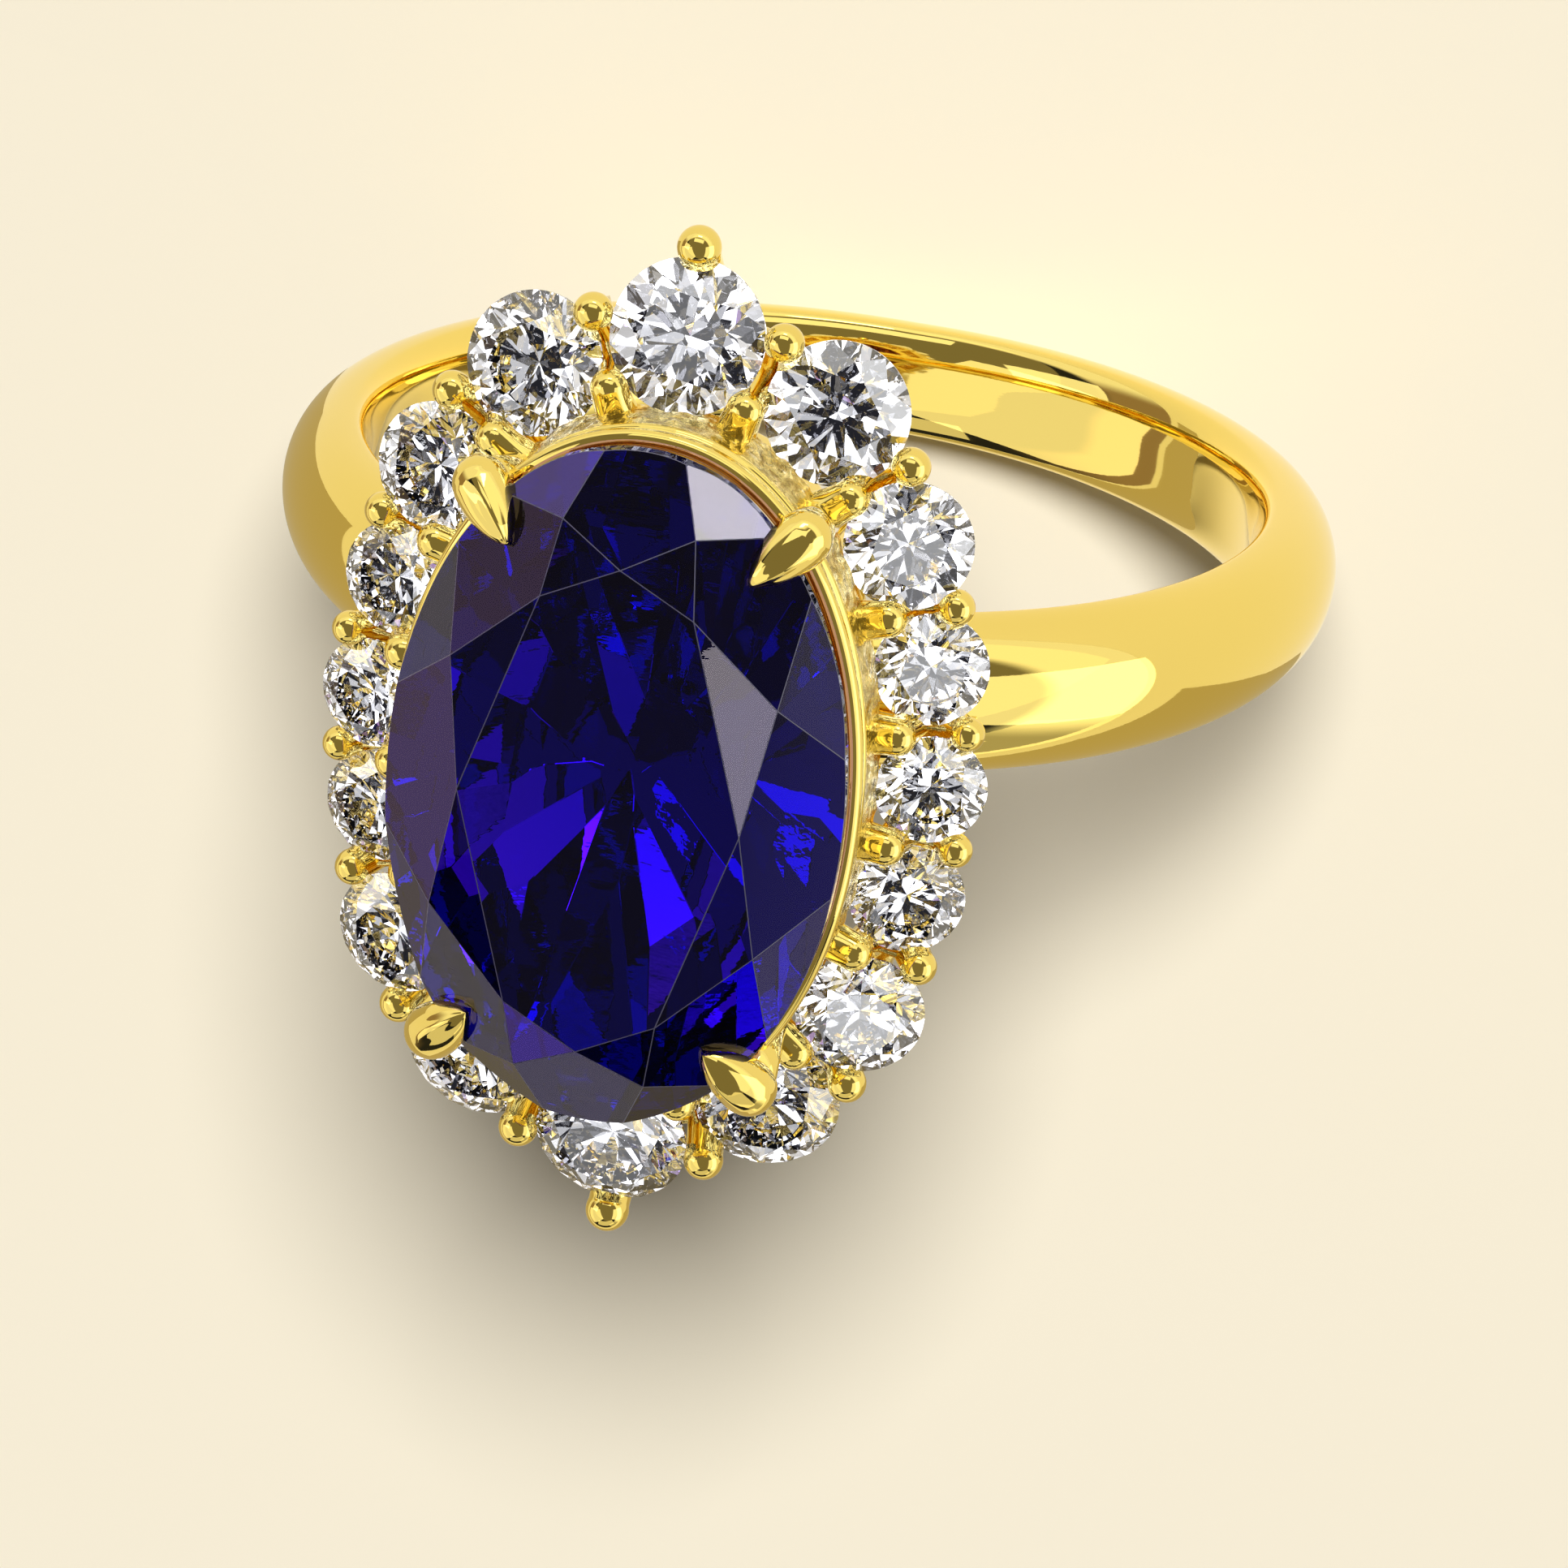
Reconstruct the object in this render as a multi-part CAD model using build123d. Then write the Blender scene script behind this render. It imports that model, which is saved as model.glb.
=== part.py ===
from build123d import *
import os
from math import atan2, copysign, cos, pi, radians, sin, tan

# Halo ring: an oval centre stone in four claws, ringed by sixteen round brilliants, on a tapered finger band.
# Frame: the origin is the centre of the finger bore, +Y runs along the finger and along the oval's length,
# and +Z points from the finger to the centre stone. All lengths are in millimetres.

# Finger band
BORE_RADIUS = 8.25
BAND_WIDTH_HEAD = 3.0
BAND_WIDTH_BACK = 2.2
BAND_THICKNESS_HEAD = 1.51
BAND_THICKNESS_BACK = 1.67
BAND_TAPER_POWER = 0.56
BAND_INNER_ROUNDING = 0.85
BAND_WIDEST_SHARE = 0.23
BAND_SECTION_STEP = 20
BORE_FINISHING_CUT = 0.01

# Centre stone: heights are above its girdle plane
GIRDLE_HEIGHT = 14.73
OVAL_HALF_WIDTH = 4.07
OVAL_HALF_LENGTH = 6.22
OVAL_POWER = 2.07
OVAL_OUTLINE_POINTS = 96
OVAL_SPLINE_POINTS = 32
CROWN_HEIGHT = 1.33
GIRDLE_TOP = 0.12
GIRDLE_BOTTOM = -0.10
PAVILION_DEPTH = 3.65
TABLE_SIDE_X = 2.51
TABLE_END_Y = 4.46
TABLE_CORNER = (1.36, 3.76)
END_STAR = (1.17, 5.07)
SIDE_STAR = (2.90, 2.30)
END_BREAK_FOOT = (1.53, 5.81)
SIDE_BREAK_FOOT = (3.70, 2.70)
BREAK_FOOT_HEIGHT = 0.02

# Halo diamonds in one quarter, from the end of the oval to its side: x, y, height above the centre girdle
HALO_STONES = (
    (0.00, 7.52, -2.37, 2.75),
    (2.70, 6.49, -2.63, 2.55),
    (4.23, 4.40, -2.39, 2.28),
    (4.82, 2.15, -2.57, 2.03),
    (5.06, 0.00, -2.43, 1.97),
)
HALO_HALF_WIDTH = 5.06
HALO_HALF_LENGTH = 7.52
HALO_POWER = 2.14
HALO_STONE_TILT = 16.0

# Proportions of a round brilliant of unit girdle radius
TABLE_RATIO = 0.57
CROWN_ANGLE = 34.5
STAR_SHARE = 0.5
PAVILION_ANGLE = 40.8
LOWER_HALF_SHARE = 0.77
BRILLIANT_GIRDLE = 0.07
ROUGH_SIDES = 64
ROUGH_HALF_HEIGHT = 1.2

# Prongs in one quarter: bead centre x, y, height above the centre girdle, and bead radius
OUTER_BEADS = (
    (1.70, 7.68, -2.37, 0.355),
    (4.10, 5.79, -2.51, 0.35),
    (5.15, 3.37, -2.53, 0.33),
    (5.58, 1.09, -2.53, 0.31),
)
TIP_BEAD = (0.0, 9.07, -2.62, 0.39)
INNER_BEADS = (
    (1.21, 6.50, -1.98, 0.34),
    (3.18, 5.19, -2.10, 0.34),
    (4.06, 3.13, -2.09, 0.34),
    (4.45, 1.03, -1.99, 0.34),
)
PRONG_NECK_SHARE = 0.95
PRONG_FOOT_WIDENING = 1.08
OUTER_FOOT_SHARE = 0.87
INNER_FOOT_SHARE = 1.04
PRONG_FOOT_HEIGHT = -3.55
BARREL_LENGTH = 0.75
BARREL_DROP = 0.20
BARREL_NECK_SHARE = 0.99
BARREL_WALL_SHARE = 1.1

# Claws of the centre stone
CLAW_BALL = (2.86, 5.12, 0.02)
CLAW_TIP = (2.13, 4.35, 0.74)
CLAW_FOOT = (2.45, 4.25, -3.6)
CLAW_BALL_RADIUS = 0.50
CLAW_LEAF_RADIUS = 0.475
CLAW_TIP_RADIUS = 0.06
CLAW_STEM_RADIUS = 0.45
CLAW_FOOT_RADIUS = 0.42

# Collet wall: half width, half length and height of its outside and of the hollow inside
COLLET_OUTSIDE = ((4.12, 6.30, -0.45), (4.14, 6.27, -2.2), (3.10, 4.75, -4.40))
COLLET_HOLLOW = (
    (4.05, 6.27, -0.30),
    (3.65, 5.75, -0.75),
    (2.62, 4.10, -1.25),
    (3.30, 5.15, -2.0),
    (2.60, 4.15, -4.60),
)

# Halo rail under the diamonds' inner halves, with a web between each pair of them
RAIL_INSET = 0.33
RAIL_HALF_BREADTH = 0.36
RAIL_BOTTOM = -3.95
RAIL_TOP = -3.05
WEB_THICKNESS = 0.16
WEB_TOP = -2.62
WEB_BOTTOM = -3.30

# Base gallery: an oval ring that saddles the band, and its struts to the halo rail
BASE_HALF_WIDTH = 3.25
BASE_HALF_LENGTH = 4.95
BASE_BREADTH = 0.65
BASE_BOTTOM = -5.73
BASE_TOP = -4.40
STRUT_RADIUS = 0.32
STRUT_FOOT_HEIGHT = -4.85
STRUT_HEAD_HEIGHT = -3.70
STRUT_SHARE = 0.2
STRUT_WEBS = (1, 3)

QUARTERS = ((1, 1), (-1, 1), (-1, -1), (1, -1))


def head_point(x, y, height):
    """A point of the head, given by its height above the centre stone's girdle."""
    return Vector(x, y, GIRDLE_HEIGHT + height)


def oval_points(half_width, half_length, power, height, count):
    """Evenly spread points round a superellipse."""
    points = []
    for i in range(count):
        angle = 2 * pi * i / count
        c = cos(angle)
        s = sin(angle)
        reach = (abs(c) ** power + abs(s) ** power) ** (-1 / power)
        points.append(head_point(half_width * c * reach, half_length * s * reach, height))
    return points


def oval_wire(half_width, half_length, height):
    """A smooth closed oval, slightly fuller than an ellipse."""
    points = oval_points(half_width, half_length, OVAL_POWER, height, OVAL_SPLINE_POINTS)
    return Wire(Edge.make_spline(points, periodic=True))


def oval_solid(sections):
    """A solid skinned over ovals given as half width, half length and height."""
    return Solid.make_loft([oval_wire(*section) for section in sections], ruled=True)


def oval_ring(half_width, half_length, half_breadth, bottom, top):
    """An upright oval ring of even breadth about its middle line."""
    outside = oval_solid([(half_width + half_breadth, half_length + half_breadth, z) for z in (bottom, top)])
    inside = oval_solid([(half_width - half_breadth, half_length - half_breadth, z) for z in (bottom, top)])
    return outside - inside


def tapered_rod(start, end, start_radius, end_radius):
    """A straight round rod from start to end."""
    axis = end - start
    plane = Plane(origin=start, z_dir=axis.normalized())
    if abs(start_radius - end_radius) < 1e-6:
        return Solid.make_cylinder(start_radius, axis.length, plane)
    return Solid.make_cone(start_radius, end_radius, axis.length, plane)


def ball(centre, radius):
    """A whole ball."""
    return Pos(*centre) * Solid.make_sphere(radius, angle1=-90, angle2=90, angle3=360)


def cut_facets(rough, facets):
    """Grinds one flat facet per (point, outward normal) on a convex rough stone."""
    stone = rough
    for point, normal in facets:
        stone = split(stone, bisect_by=Plane(origin=point, z_dir=normal), keep=Keep.BOTTOM)
    return stone


def plane_through(a, b, c, outward):
    """The (point, normal) of the plane through three points, with its normal turned outward."""
    normal = (b - a).cross(c - a).normalized()
    if normal.dot(outward) < 0:
        normal = -normal
    return a, normal


def polar(radius, azimuth, height):
    """A point from its distance and direction, in degrees, round the Z axis."""
    return Vector(radius * cos(radians(azimuth)), radius * sin(radians(azimuth)), height)


# Derived heights of the unit brilliant: the girdle's top edge, the table, a star facet's lower tip,
# and the tip where two lower halves meet
UNIT_TOP = BRILLIANT_GIRDLE / 2
UNIT_CROWN = UNIT_TOP + (1 - TABLE_RATIO) * tan(radians(CROWN_ANGLE))
HALF_STEP = cos(radians(22.5))
STAR_RADIUS = TABLE_RATIO * HALF_STEP + STAR_SHARE * (1 - TABLE_RATIO * HALF_STEP)
STAR_HEIGHT = UNIT_TOP + tan(radians(CROWN_ANGLE)) * (1 - STAR_RADIUS * HALF_STEP)
LOWER_RADIUS = 1 - LOWER_HALF_SHARE
LOWER_HEIGHT = -UNIT_TOP - tan(radians(PAVILION_ANGLE)) * (1 - LOWER_RADIUS * HALF_STEP)


def brilliant():
    """A round brilliant of unit radius, its girdle's middle at the origin and its table up."""
    facets = [(Vector(0, 0, UNIT_CROWN), Vector(0, 0, 1))]
    for i in range(8):
        main = 45 * i
        star = main + 22.5
        table_corners = [polar(TABLE_RATIO, azimuth, UNIT_CROWN) for azimuth in (main, main + 45)]
        star_apex = polar(STAR_RADIUS, star, STAR_HEIGHT)
        lower_apex = polar(LOWER_RADIUS, star, LOWER_HEIGHT)
        facets.append(plane_through(*table_corners, star_apex, polar(1, star, 1)))
        for angle, side in ((CROWN_ANGLE, 1), (PAVILION_ANGLE, -1)):
            normal = polar(sin(radians(angle)), main, side * cos(radians(angle)))
            facets.append((polar(1, main, side * UNIT_TOP), normal))
        for side in (main, main + 45):
            outward = polar(1, (side + star) / 2, 0)
            for apex, edge in ((star_apex, UNIT_TOP), (lower_apex, -UNIT_TOP)):
                facets.append(plane_through(polar(1, side, edge), polar(1, star, edge), apex, outward))
    rough = extrude(RegularPolygon(1, ROUGH_SIDES), amount=ROUGH_HALF_HEIGHT, both=True)
    return cut_facets(rough, facets)


def brilliant_seat():
    """The plain round form, two cones and a band, that just holds the unit brilliant. It cuts its seat."""
    crown_slope = (STAR_HEIGHT - UNIT_TOP) / (1 - STAR_RADIUS)
    pavilion_slope = -(LOWER_HEIGHT + UNIT_TOP) / (1 - LOWER_RADIUS)
    flat = 1 - (UNIT_CROWN - UNIT_TOP) / crown_slope
    profile = Polyline(
        (0, 0, -UNIT_TOP - pavilion_slope),
        (1, 0, -UNIT_TOP),
        (1, 0, UNIT_TOP),
        (flat, 0, UNIT_CROWN),
        (0, 0, UNIT_CROWN),
        close=True,
    )
    return revolve(make_face(profile), axis=Axis.Z)


def main_height(run, whole_run):
    """Height on a main facet at a distance out from the table's edge, of the whole way to the girdle."""
    return CROWN_HEIGHT - (CROWN_HEIGHT - GIRDLE_TOP) * run / whole_run


def oval_crown_facets():
    """Stars, mains and breaks of one quarter of the crown."""
    side = Vector(TABLE_SIDE_X, 0, CROWN_HEIGHT)
    end = Vector(0, TABLE_END_Y, CROWN_HEIGHT)
    corner = Vector(*TABLE_CORNER, CROWN_HEIGHT)
    side_foot = Vector(OVAL_HALF_WIDTH, 0, GIRDLE_TOP)
    end_foot = Vector(0, OVAL_HALF_LENGTH, GIRDLE_TOP)
    end_star = Vector(*END_STAR, main_height(END_STAR[1] - TABLE_END_Y, OVAL_HALF_LENGTH - TABLE_END_Y))
    side_star = Vector(*SIDE_STAR, main_height(SIDE_STAR[0] - TABLE_SIDE_X, OVAL_HALF_WIDTH - TABLE_SIDE_X))
    facets = [
        plane_through(end, corner, end_star, Vector(0, 1, 1)),
        plane_through(side, corner, side_star, Vector(1, 0, 1)),
        plane_through(corner, end_star, side_star, Vector(1, 1, 1)),
        plane_through(side, side_foot, side + Vector(0, 1, 0), Vector(1, 0, 1)),
        plane_through(end, end_foot, end + Vector(1, 0, 0), Vector(0, 1, 1)),
    ]
    for star, foot in ((end_star, END_BREAK_FOOT), (side_star, SIDE_BREAK_FOOT)):
        foot_point = Vector(*foot, BREAK_FOOT_HEIGHT)
        along = Vector(-foot[1] / OVAL_HALF_LENGTH**2, foot[0] / OVAL_HALF_WIDTH**2, 0)
        facets.append(plane_through(star, foot_point, foot_point + along, Vector(1, 1, 1)))
    return facets


def oval_pavilion_facets():
    """Mains and lower halves of one quarter of the pavilion, all pointing at the culet."""
    culet = Vector(0, 0, -PAVILION_DEPTH)
    facets = []
    for i in range(3):
        angle = radians(45 * i)
        girdle = Vector(OVAL_HALF_WIDTH * cos(angle), OVAL_HALF_LENGTH * sin(angle), GIRDLE_BOTTOM)
        along = Vector(-OVAL_HALF_WIDTH * sin(angle), OVAL_HALF_LENGTH * cos(angle), 0)
        facets.append(plane_through(culet, girdle, girdle + along, Vector(cos(angle), sin(angle), -1)))
    deep = culet * LOWER_HALF_SHARE
    for i in range(4):
        angle = radians(11.25 + 22.5 * i)
        girdle = Vector(OVAL_HALF_WIDTH * cos(angle), OVAL_HALF_LENGTH * sin(angle), GIRDLE_BOTTOM)
        along = Vector(-OVAL_HALF_WIDTH * sin(angle), OVAL_HALF_LENGTH * cos(angle), 0)
        seam = radians(22.5 + 45 * (i // 2))
        share = 1 - LOWER_HALF_SHARE
        seam_foot = Vector(OVAL_HALF_WIDTH * cos(seam) * share, OVAL_HALF_LENGTH * sin(seam) * share, deep.Z)
        facets.append(plane_through(girdle, girdle + along, seam_foot, Vector(cos(angle), sin(angle), -1)))
    return facets


def mirrored(facets, sign_x, sign_y):
    """One quarter's facets taken to another quarter."""
    signs = Vector(sign_x, sign_y, 1)
    return [(flip(point, signs), flip(normal, signs)) for point, normal in facets]


def flip(vector, signs):
    """A vector with each part multiplied by its sign."""
    return Vector(vector.X * signs.X, vector.Y * signs.Y, vector.Z * signs.Z)


def centre_stone():
    """The oval stone, its outline a fine polygon on a superellipse."""
    outline = oval_points(OVAL_HALF_WIDTH, OVAL_HALF_LENGTH, OVAL_POWER, -GIRDLE_HEIGHT, OVAL_OUTLINE_POINTS)
    rough = extrude(make_face(Polyline(*outline, close=True)), amount=PAVILION_DEPTH + 1, both=True)
    facets = [(Vector(0, 0, CROWN_HEIGHT), Vector(0, 0, 1))]
    quarter = oval_crown_facets() + oval_pavilion_facets()
    for sign_x, sign_y in QUARTERS:
        facets += mirrored(quarter, sign_x, sign_y)
    return Pos(0, 0, GIRDLE_HEIGHT) * cut_facets(rough, facets)


def carve(shape, tools):
    """The largest solid left when the tools are cut away, so that neighbours meet face to face."""
    left = shape - list(tools)
    return max(left.solids(), key=lambda solid: solid.volume)


def round_the_oval(quarter):
    """Every place that a quarter's list stands for, clockwise from the oval's +Y end, with no repeats."""
    places = {}
    for x, y, height, size in quarter:
        for sign_x, sign_y in QUARTERS:
            places[(x * sign_x + 0.0, y * sign_y + 0.0)] = (height, size)
    clockwise = sorted(places, key=lambda place: atan2(place[0], place[1]) % (2 * pi))
    return [(x, y, *places[(x, y)]) for x, y in clockwise]


def halo_outward(x, y):
    """The unit direction, seen from above, that is square to the halo's oval at a stone."""
    across = copysign(abs(x / HALO_HALF_WIDTH) ** (HALO_POWER - 1) / HALO_HALF_WIDTH, x)
    along = copysign(abs(y / HALO_HALF_LENGTH) ** (HALO_POWER - 1) / HALO_HALF_LENGTH, y)
    return Vector(across, along, 0).normalized()


def stone_axis(x, y):
    """The way a halo stone's table faces: up, tilted outward."""
    tilt = radians(HALO_STONE_TILT)
    return halo_outward(x, y) * sin(tilt) + Vector(0, 0, cos(tilt))


def in_halo(unit_form):
    """Copies of a unit form at the sixteen stones' places, tilts and sizes."""
    copies = []
    for x, y, height, diameter in round_the_oval(HALO_STONES):
        tangent = Vector(0, 0, 1).cross(halo_outward(x, y))
        seat = Plane(origin=head_point(x, y, height), x_dir=tangent, z_dir=stone_axis(x, y))
        copies.append(seat * scale(unit_form, by=diameter / 2))
    return copies


def prong(bead, foot_share):
    """A round wire from the halo rail up to its bead, slimmest under the bead."""
    x, y, height, radius = bead
    top = head_point(x, y, height)
    foot = head_point(x * foot_share, y * foot_share, PRONG_FOOT_HEIGHT)
    return ball(top, radius) + tapered_rod(foot, top, radius * PRONG_FOOT_WIDENING, radius * PRONG_NECK_SHARE)


def inner_prong(bead):
    """A prong with a short barrel that joins its bead to the collet wall."""
    x, y, height, radius = bead
    outward = halo_outward(x, y)
    start = head_point(x, y, height)
    end = start - outward * BARREL_LENGTH - Vector(0, 0, BARREL_DROP)
    barrel = tapered_rod(start, end, radius * BARREL_NECK_SHARE, radius * BARREL_WALL_SHARE)
    return prong(bead, INNER_FOOT_SHARE) + barrel


def claw(sign_x, sign_y):
    """A pointed leaf over the crown, its round back outside the girdle, on a stem down the collet wall."""
    signs = Vector(sign_x, sign_y, 1)
    back = head_point(*flip(Vector(*CLAW_BALL), signs))
    tip = head_point(*flip(Vector(*CLAW_TIP), signs))
    foot = head_point(*flip(Vector(*CLAW_FOOT), signs))
    leaf = tapered_rod(back, tip, CLAW_LEAF_RADIUS, CLAW_TIP_RADIUS)
    stem = tapered_rod(back, foot, CLAW_STEM_RADIUS, CLAW_FOOT_RADIUS)
    return ball(back, CLAW_BALL_RADIUS) + leaf + stem


def web(inner, outer):
    """The thin plate between two stones, from the inner bead to the outer one."""
    start = Vector(inner[0], inner[1], GIRDLE_HEIGHT + WEB_BOTTOM)
    run = Vector(outer[0] - inner[0], outer[1] - inner[1], 0)
    base = Plane(origin=start + run / 2, x_dir=run.normalized(), z_dir=(0, 0, 1))
    lift = (Align.CENTER, Align.CENTER, Align.MIN)
    return base * Box(run.length, WEB_THICKNESS, WEB_TOP - WEB_BOTTOM, align=lift)


def strut(inner, outer):
    """A round bar from the base ring out to the halo rail, under a web."""
    x = inner[0] + (outer[0] - inner[0]) * STRUT_SHARE
    y = inner[1] + (outer[1] - inner[1]) * STRUT_SHARE
    foot_x = x * BASE_HALF_WIDTH / HALO_HALF_WIDTH
    foot_y = y * BASE_HALF_LENGTH / HALO_HALF_LENGTH
    foot = head_point(foot_x, foot_y, STRUT_FOOT_HEIGHT)
    return tapered_rod(foot, head_point(x, y, STRUT_HEAD_HEIGHT), STRUT_RADIUS, STRUT_RADIUS)


def band_section(turn):
    """The band's section at an angle from the head, in degrees: rounded inside, domed outside."""
    share = ((1 + cos(radians(turn))) / 2) ** BAND_TAPER_POWER if turn < 180 else 0.0
    half_width = (BAND_WIDTH_BACK + (BAND_WIDTH_HEAD - BAND_WIDTH_BACK) * share) / 2
    thickness = BAND_THICKNESS_BACK + (BAND_THICKNESS_HEAD - BAND_THICKNESS_BACK) * share
    inside = BORE_RADIUS - BORE_FINISHING_CUT
    outside = BORE_RADIUS + thickness
    widest = BORE_RADIUS + BAND_WIDEST_SHARE * thickness
    flat = half_width - BAND_INNER_ROUNDING
    rounding = widest - inside
    edges = [
        Edge.make_line((inside, -flat, 0), (inside, flat, 0)),
        quarter_oval((widest, flat, 0), rounding, BAND_INNER_ROUNDING, 90, 180),
        quarter_oval((widest, 0, 0), outside - widest, half_width, -90, 90),
        quarter_oval((widest, -flat, 0), rounding, BAND_INNER_ROUNDING, 180, 270),
    ]
    a = radians(turn)
    return Plane(origin=(0, 0, 0), x_dir=(sin(a), 0, cos(a)), z_dir=(cos(a), 0, -sin(a))) * Wire(edges)


def quarter_oval(centre, x_radius, y_radius, start, end):
    """An arc of an ellipse, between angles in degrees."""
    return Edge.make_ellipse(x_radius, y_radius, Plane(origin=centre), start_angle=start, end_angle=end)


def shank():
    """The finger band: two mirrored halves, then the bore finished to size."""
    sections = [band_section(turn) for turn in range(0, 181, BAND_SECTION_STEP)]
    half = Solid.make_loft(sections)
    band = half + mirror(half, about=Plane.YZ)
    bore = Rot(90, 0, 0) * Cylinder(BORE_RADIUS, 3 * BAND_WIDTH_HEAD)
    return carve(band, [bore])


def collet(tools):
    """The wall that holds the centre stone, hollow from its seat down."""
    outside = oval_solid(COLLET_OUTSIDE)
    hollow = oval_solid(COLLET_HOLLOW)
    return carve(outside - hollow, tools)


def halo_rail(beads, tools):
    """The oval rail with its webs, cut to the stones' seats."""
    half_width = HALO_HALF_WIDTH - RAIL_INSET
    half_length = HALO_HALF_LENGTH - RAIL_INSET
    rail = oval_ring(half_width, half_length, RAIL_HALF_BREADTH, RAIL_BOTTOM, RAIL_TOP)
    return carve(rail + [web(inner, outer) for inner, outer in beads], tools)


def base_gallery(strut_beads, tools):
    """The oval ring that saddles the band, with its struts."""
    middle_width = BASE_HALF_WIDTH - BASE_BREADTH / 2
    middle_length = BASE_HALF_LENGTH - BASE_BREADTH / 2
    ring = oval_ring(middle_width, middle_length, BASE_BREADTH / 2, BASE_BOTTOM, BASE_TOP)
    return carve(ring + [strut(inner, outer) for inner, outer in strut_beads], tools)


def bead_pairs(indexes):
    """The (inner bead, outer bead) pairs of these gaps between stones, all round the oval."""
    inner = round_the_oval([INNER_BEADS[i] for i in indexes])
    outer = round_the_oval([OUTER_BEADS[i] for i in indexes])
    return list(zip(inner, outer))


def main():
    """Builds every piece, each cut to the ones it holds, and writes one file for each."""
    sapphire = centre_stone()
    diamonds = in_halo(brilliant())
    seats = in_halo(brilliant_seat())
    gaps = bead_pairs(range(len(INNER_BEADS)))
    claws = [carve(claw(sign_x, sign_y), [sapphire]) for sign_x, sign_y in QUARTERS]
    inners = [carve(inner_prong(inner), seats + claws) for inner, _ in gaps]
    outer_beads = [outer for _, outer in gaps] + round_the_oval([TIP_BEAD])
    outers = [carve(prong(bead, OUTER_FOOT_SHARE), seats + inners) for bead in outer_beads]
    head = seats + inners + claws
    wall = collet([sapphire] + head)
    rail = halo_rail(gaps, head + outers + [wall])
    band = shank()
    base = base_gallery(bead_pairs(STRUT_WEBS), head + outers + [wall, rail, band])
    parts = {"centre_stone": sapphire, "collet": wall, "halo_rail": rail, "base_gallery": base, "shank": band}
    groups = {"diamond": diamonds, "outer_prong": outers, "inner_prong": inners, "claw": claws}
    for name, group in groups.items():
        for i, piece in enumerate(group):
            parts[f"{name}_{i + 1:02d}"] = piece
    os.makedirs("parts", exist_ok=True)
    for name, shape in parts.items():
        export_step(shape, f"parts/{name}.step")


main()
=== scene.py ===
import random
from math import acos, atan2, copysign, cos, hypot, pi, radians, sin, sqrt, tan

import bmesh
import bpy
import numpy as np
from mathutils import Matrix, Vector, noise


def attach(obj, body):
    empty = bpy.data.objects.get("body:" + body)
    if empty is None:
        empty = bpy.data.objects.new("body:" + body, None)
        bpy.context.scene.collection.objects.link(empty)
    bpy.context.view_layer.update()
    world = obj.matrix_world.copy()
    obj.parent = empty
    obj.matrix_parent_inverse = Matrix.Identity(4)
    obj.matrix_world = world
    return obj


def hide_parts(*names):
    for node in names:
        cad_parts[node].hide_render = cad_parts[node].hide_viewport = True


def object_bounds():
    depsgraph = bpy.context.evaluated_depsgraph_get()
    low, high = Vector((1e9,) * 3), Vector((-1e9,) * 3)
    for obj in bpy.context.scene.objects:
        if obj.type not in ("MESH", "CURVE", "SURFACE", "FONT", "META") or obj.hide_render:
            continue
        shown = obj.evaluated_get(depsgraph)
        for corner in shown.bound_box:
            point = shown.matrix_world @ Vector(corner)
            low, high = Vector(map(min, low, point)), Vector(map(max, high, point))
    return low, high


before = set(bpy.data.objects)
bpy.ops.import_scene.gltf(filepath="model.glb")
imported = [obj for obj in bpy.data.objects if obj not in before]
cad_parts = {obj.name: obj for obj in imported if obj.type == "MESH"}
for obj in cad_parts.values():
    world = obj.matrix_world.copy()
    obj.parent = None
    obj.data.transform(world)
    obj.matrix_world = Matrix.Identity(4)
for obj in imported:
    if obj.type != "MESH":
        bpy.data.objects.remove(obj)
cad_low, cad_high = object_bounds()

# Engagement ring: polished yellow gold, an oval dark blue centre stone and sixteen round brilliants.
# Shapes are worked out in millimetres in the frame of the CAD model and written to the meshes in metres.
# The floor, the backdrop and the lamps are given in metres.
MM = 0.001
DICE = random.Random(7)  # how the halo stones are turned and how bright each tent panel is
CUT_DICE = random.Random(19)  # how far each facet of the centre stone's pavilion is off the ideal

# Finger band
BORE_RADIUS = 8.25
BAND_WIDTH_HEAD = 3.0
BAND_WIDTH_BACK = 2.2
BAND_THICKNESS_HEAD = 1.51
BAND_THICKNESS_BACK = 1.67
BAND_TAPER_POWER = 0.56
BAND_INNER_ROUNDING = 0.85
BAND_WIDEST_SHARE = 0.23

# Centre stone: heights are above its girdle plane
GIRDLE_HEIGHT = 14.73
OVAL_HALF_WIDTH = 4.07
OVAL_HALF_LENGTH = 6.22
OVAL_POWER = 2.07
CROWN_HEIGHT = 1.33
GIRDLE_TOP = 0.12
GIRDLE_BOTTOM = -0.10
PAVILION_DEPTH = 3.65
CULET_SHARE = 0.93  # the flatter last tier ends at this share of the pavilion's depth
TABLE_SIDE_X = 2.51
TABLE_END_Y = 4.46
TABLE_CORNER = (1.36, 3.76)
END_STAR = (1.17, 5.07)
SIDE_STAR = (2.90, 2.30)
END_BREAK_FOOT = (1.53, 5.81)
SIDE_BREAK_FOOT = (3.70, 2.70)
BREAK_FOOT_HEIGHT = 0.02

# Halo diamonds of one quarter: x, y, height above the centre girdle, diameter
HALO_STONES = (
    (0.00, 7.52, -2.37, 2.75),
    (2.70, 6.49, -2.63, 2.55),
    (4.23, 4.40, -2.39, 2.28),
    (4.82, 2.15, -2.57, 2.03),
    (5.06, 0.00, -2.43, 1.97),
)
HALO_HALF_WIDTH = 5.06
HALO_HALF_LENGTH = 7.52
HALO_POWER = 2.14
HALO_STONE_TILT = 16.0

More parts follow.
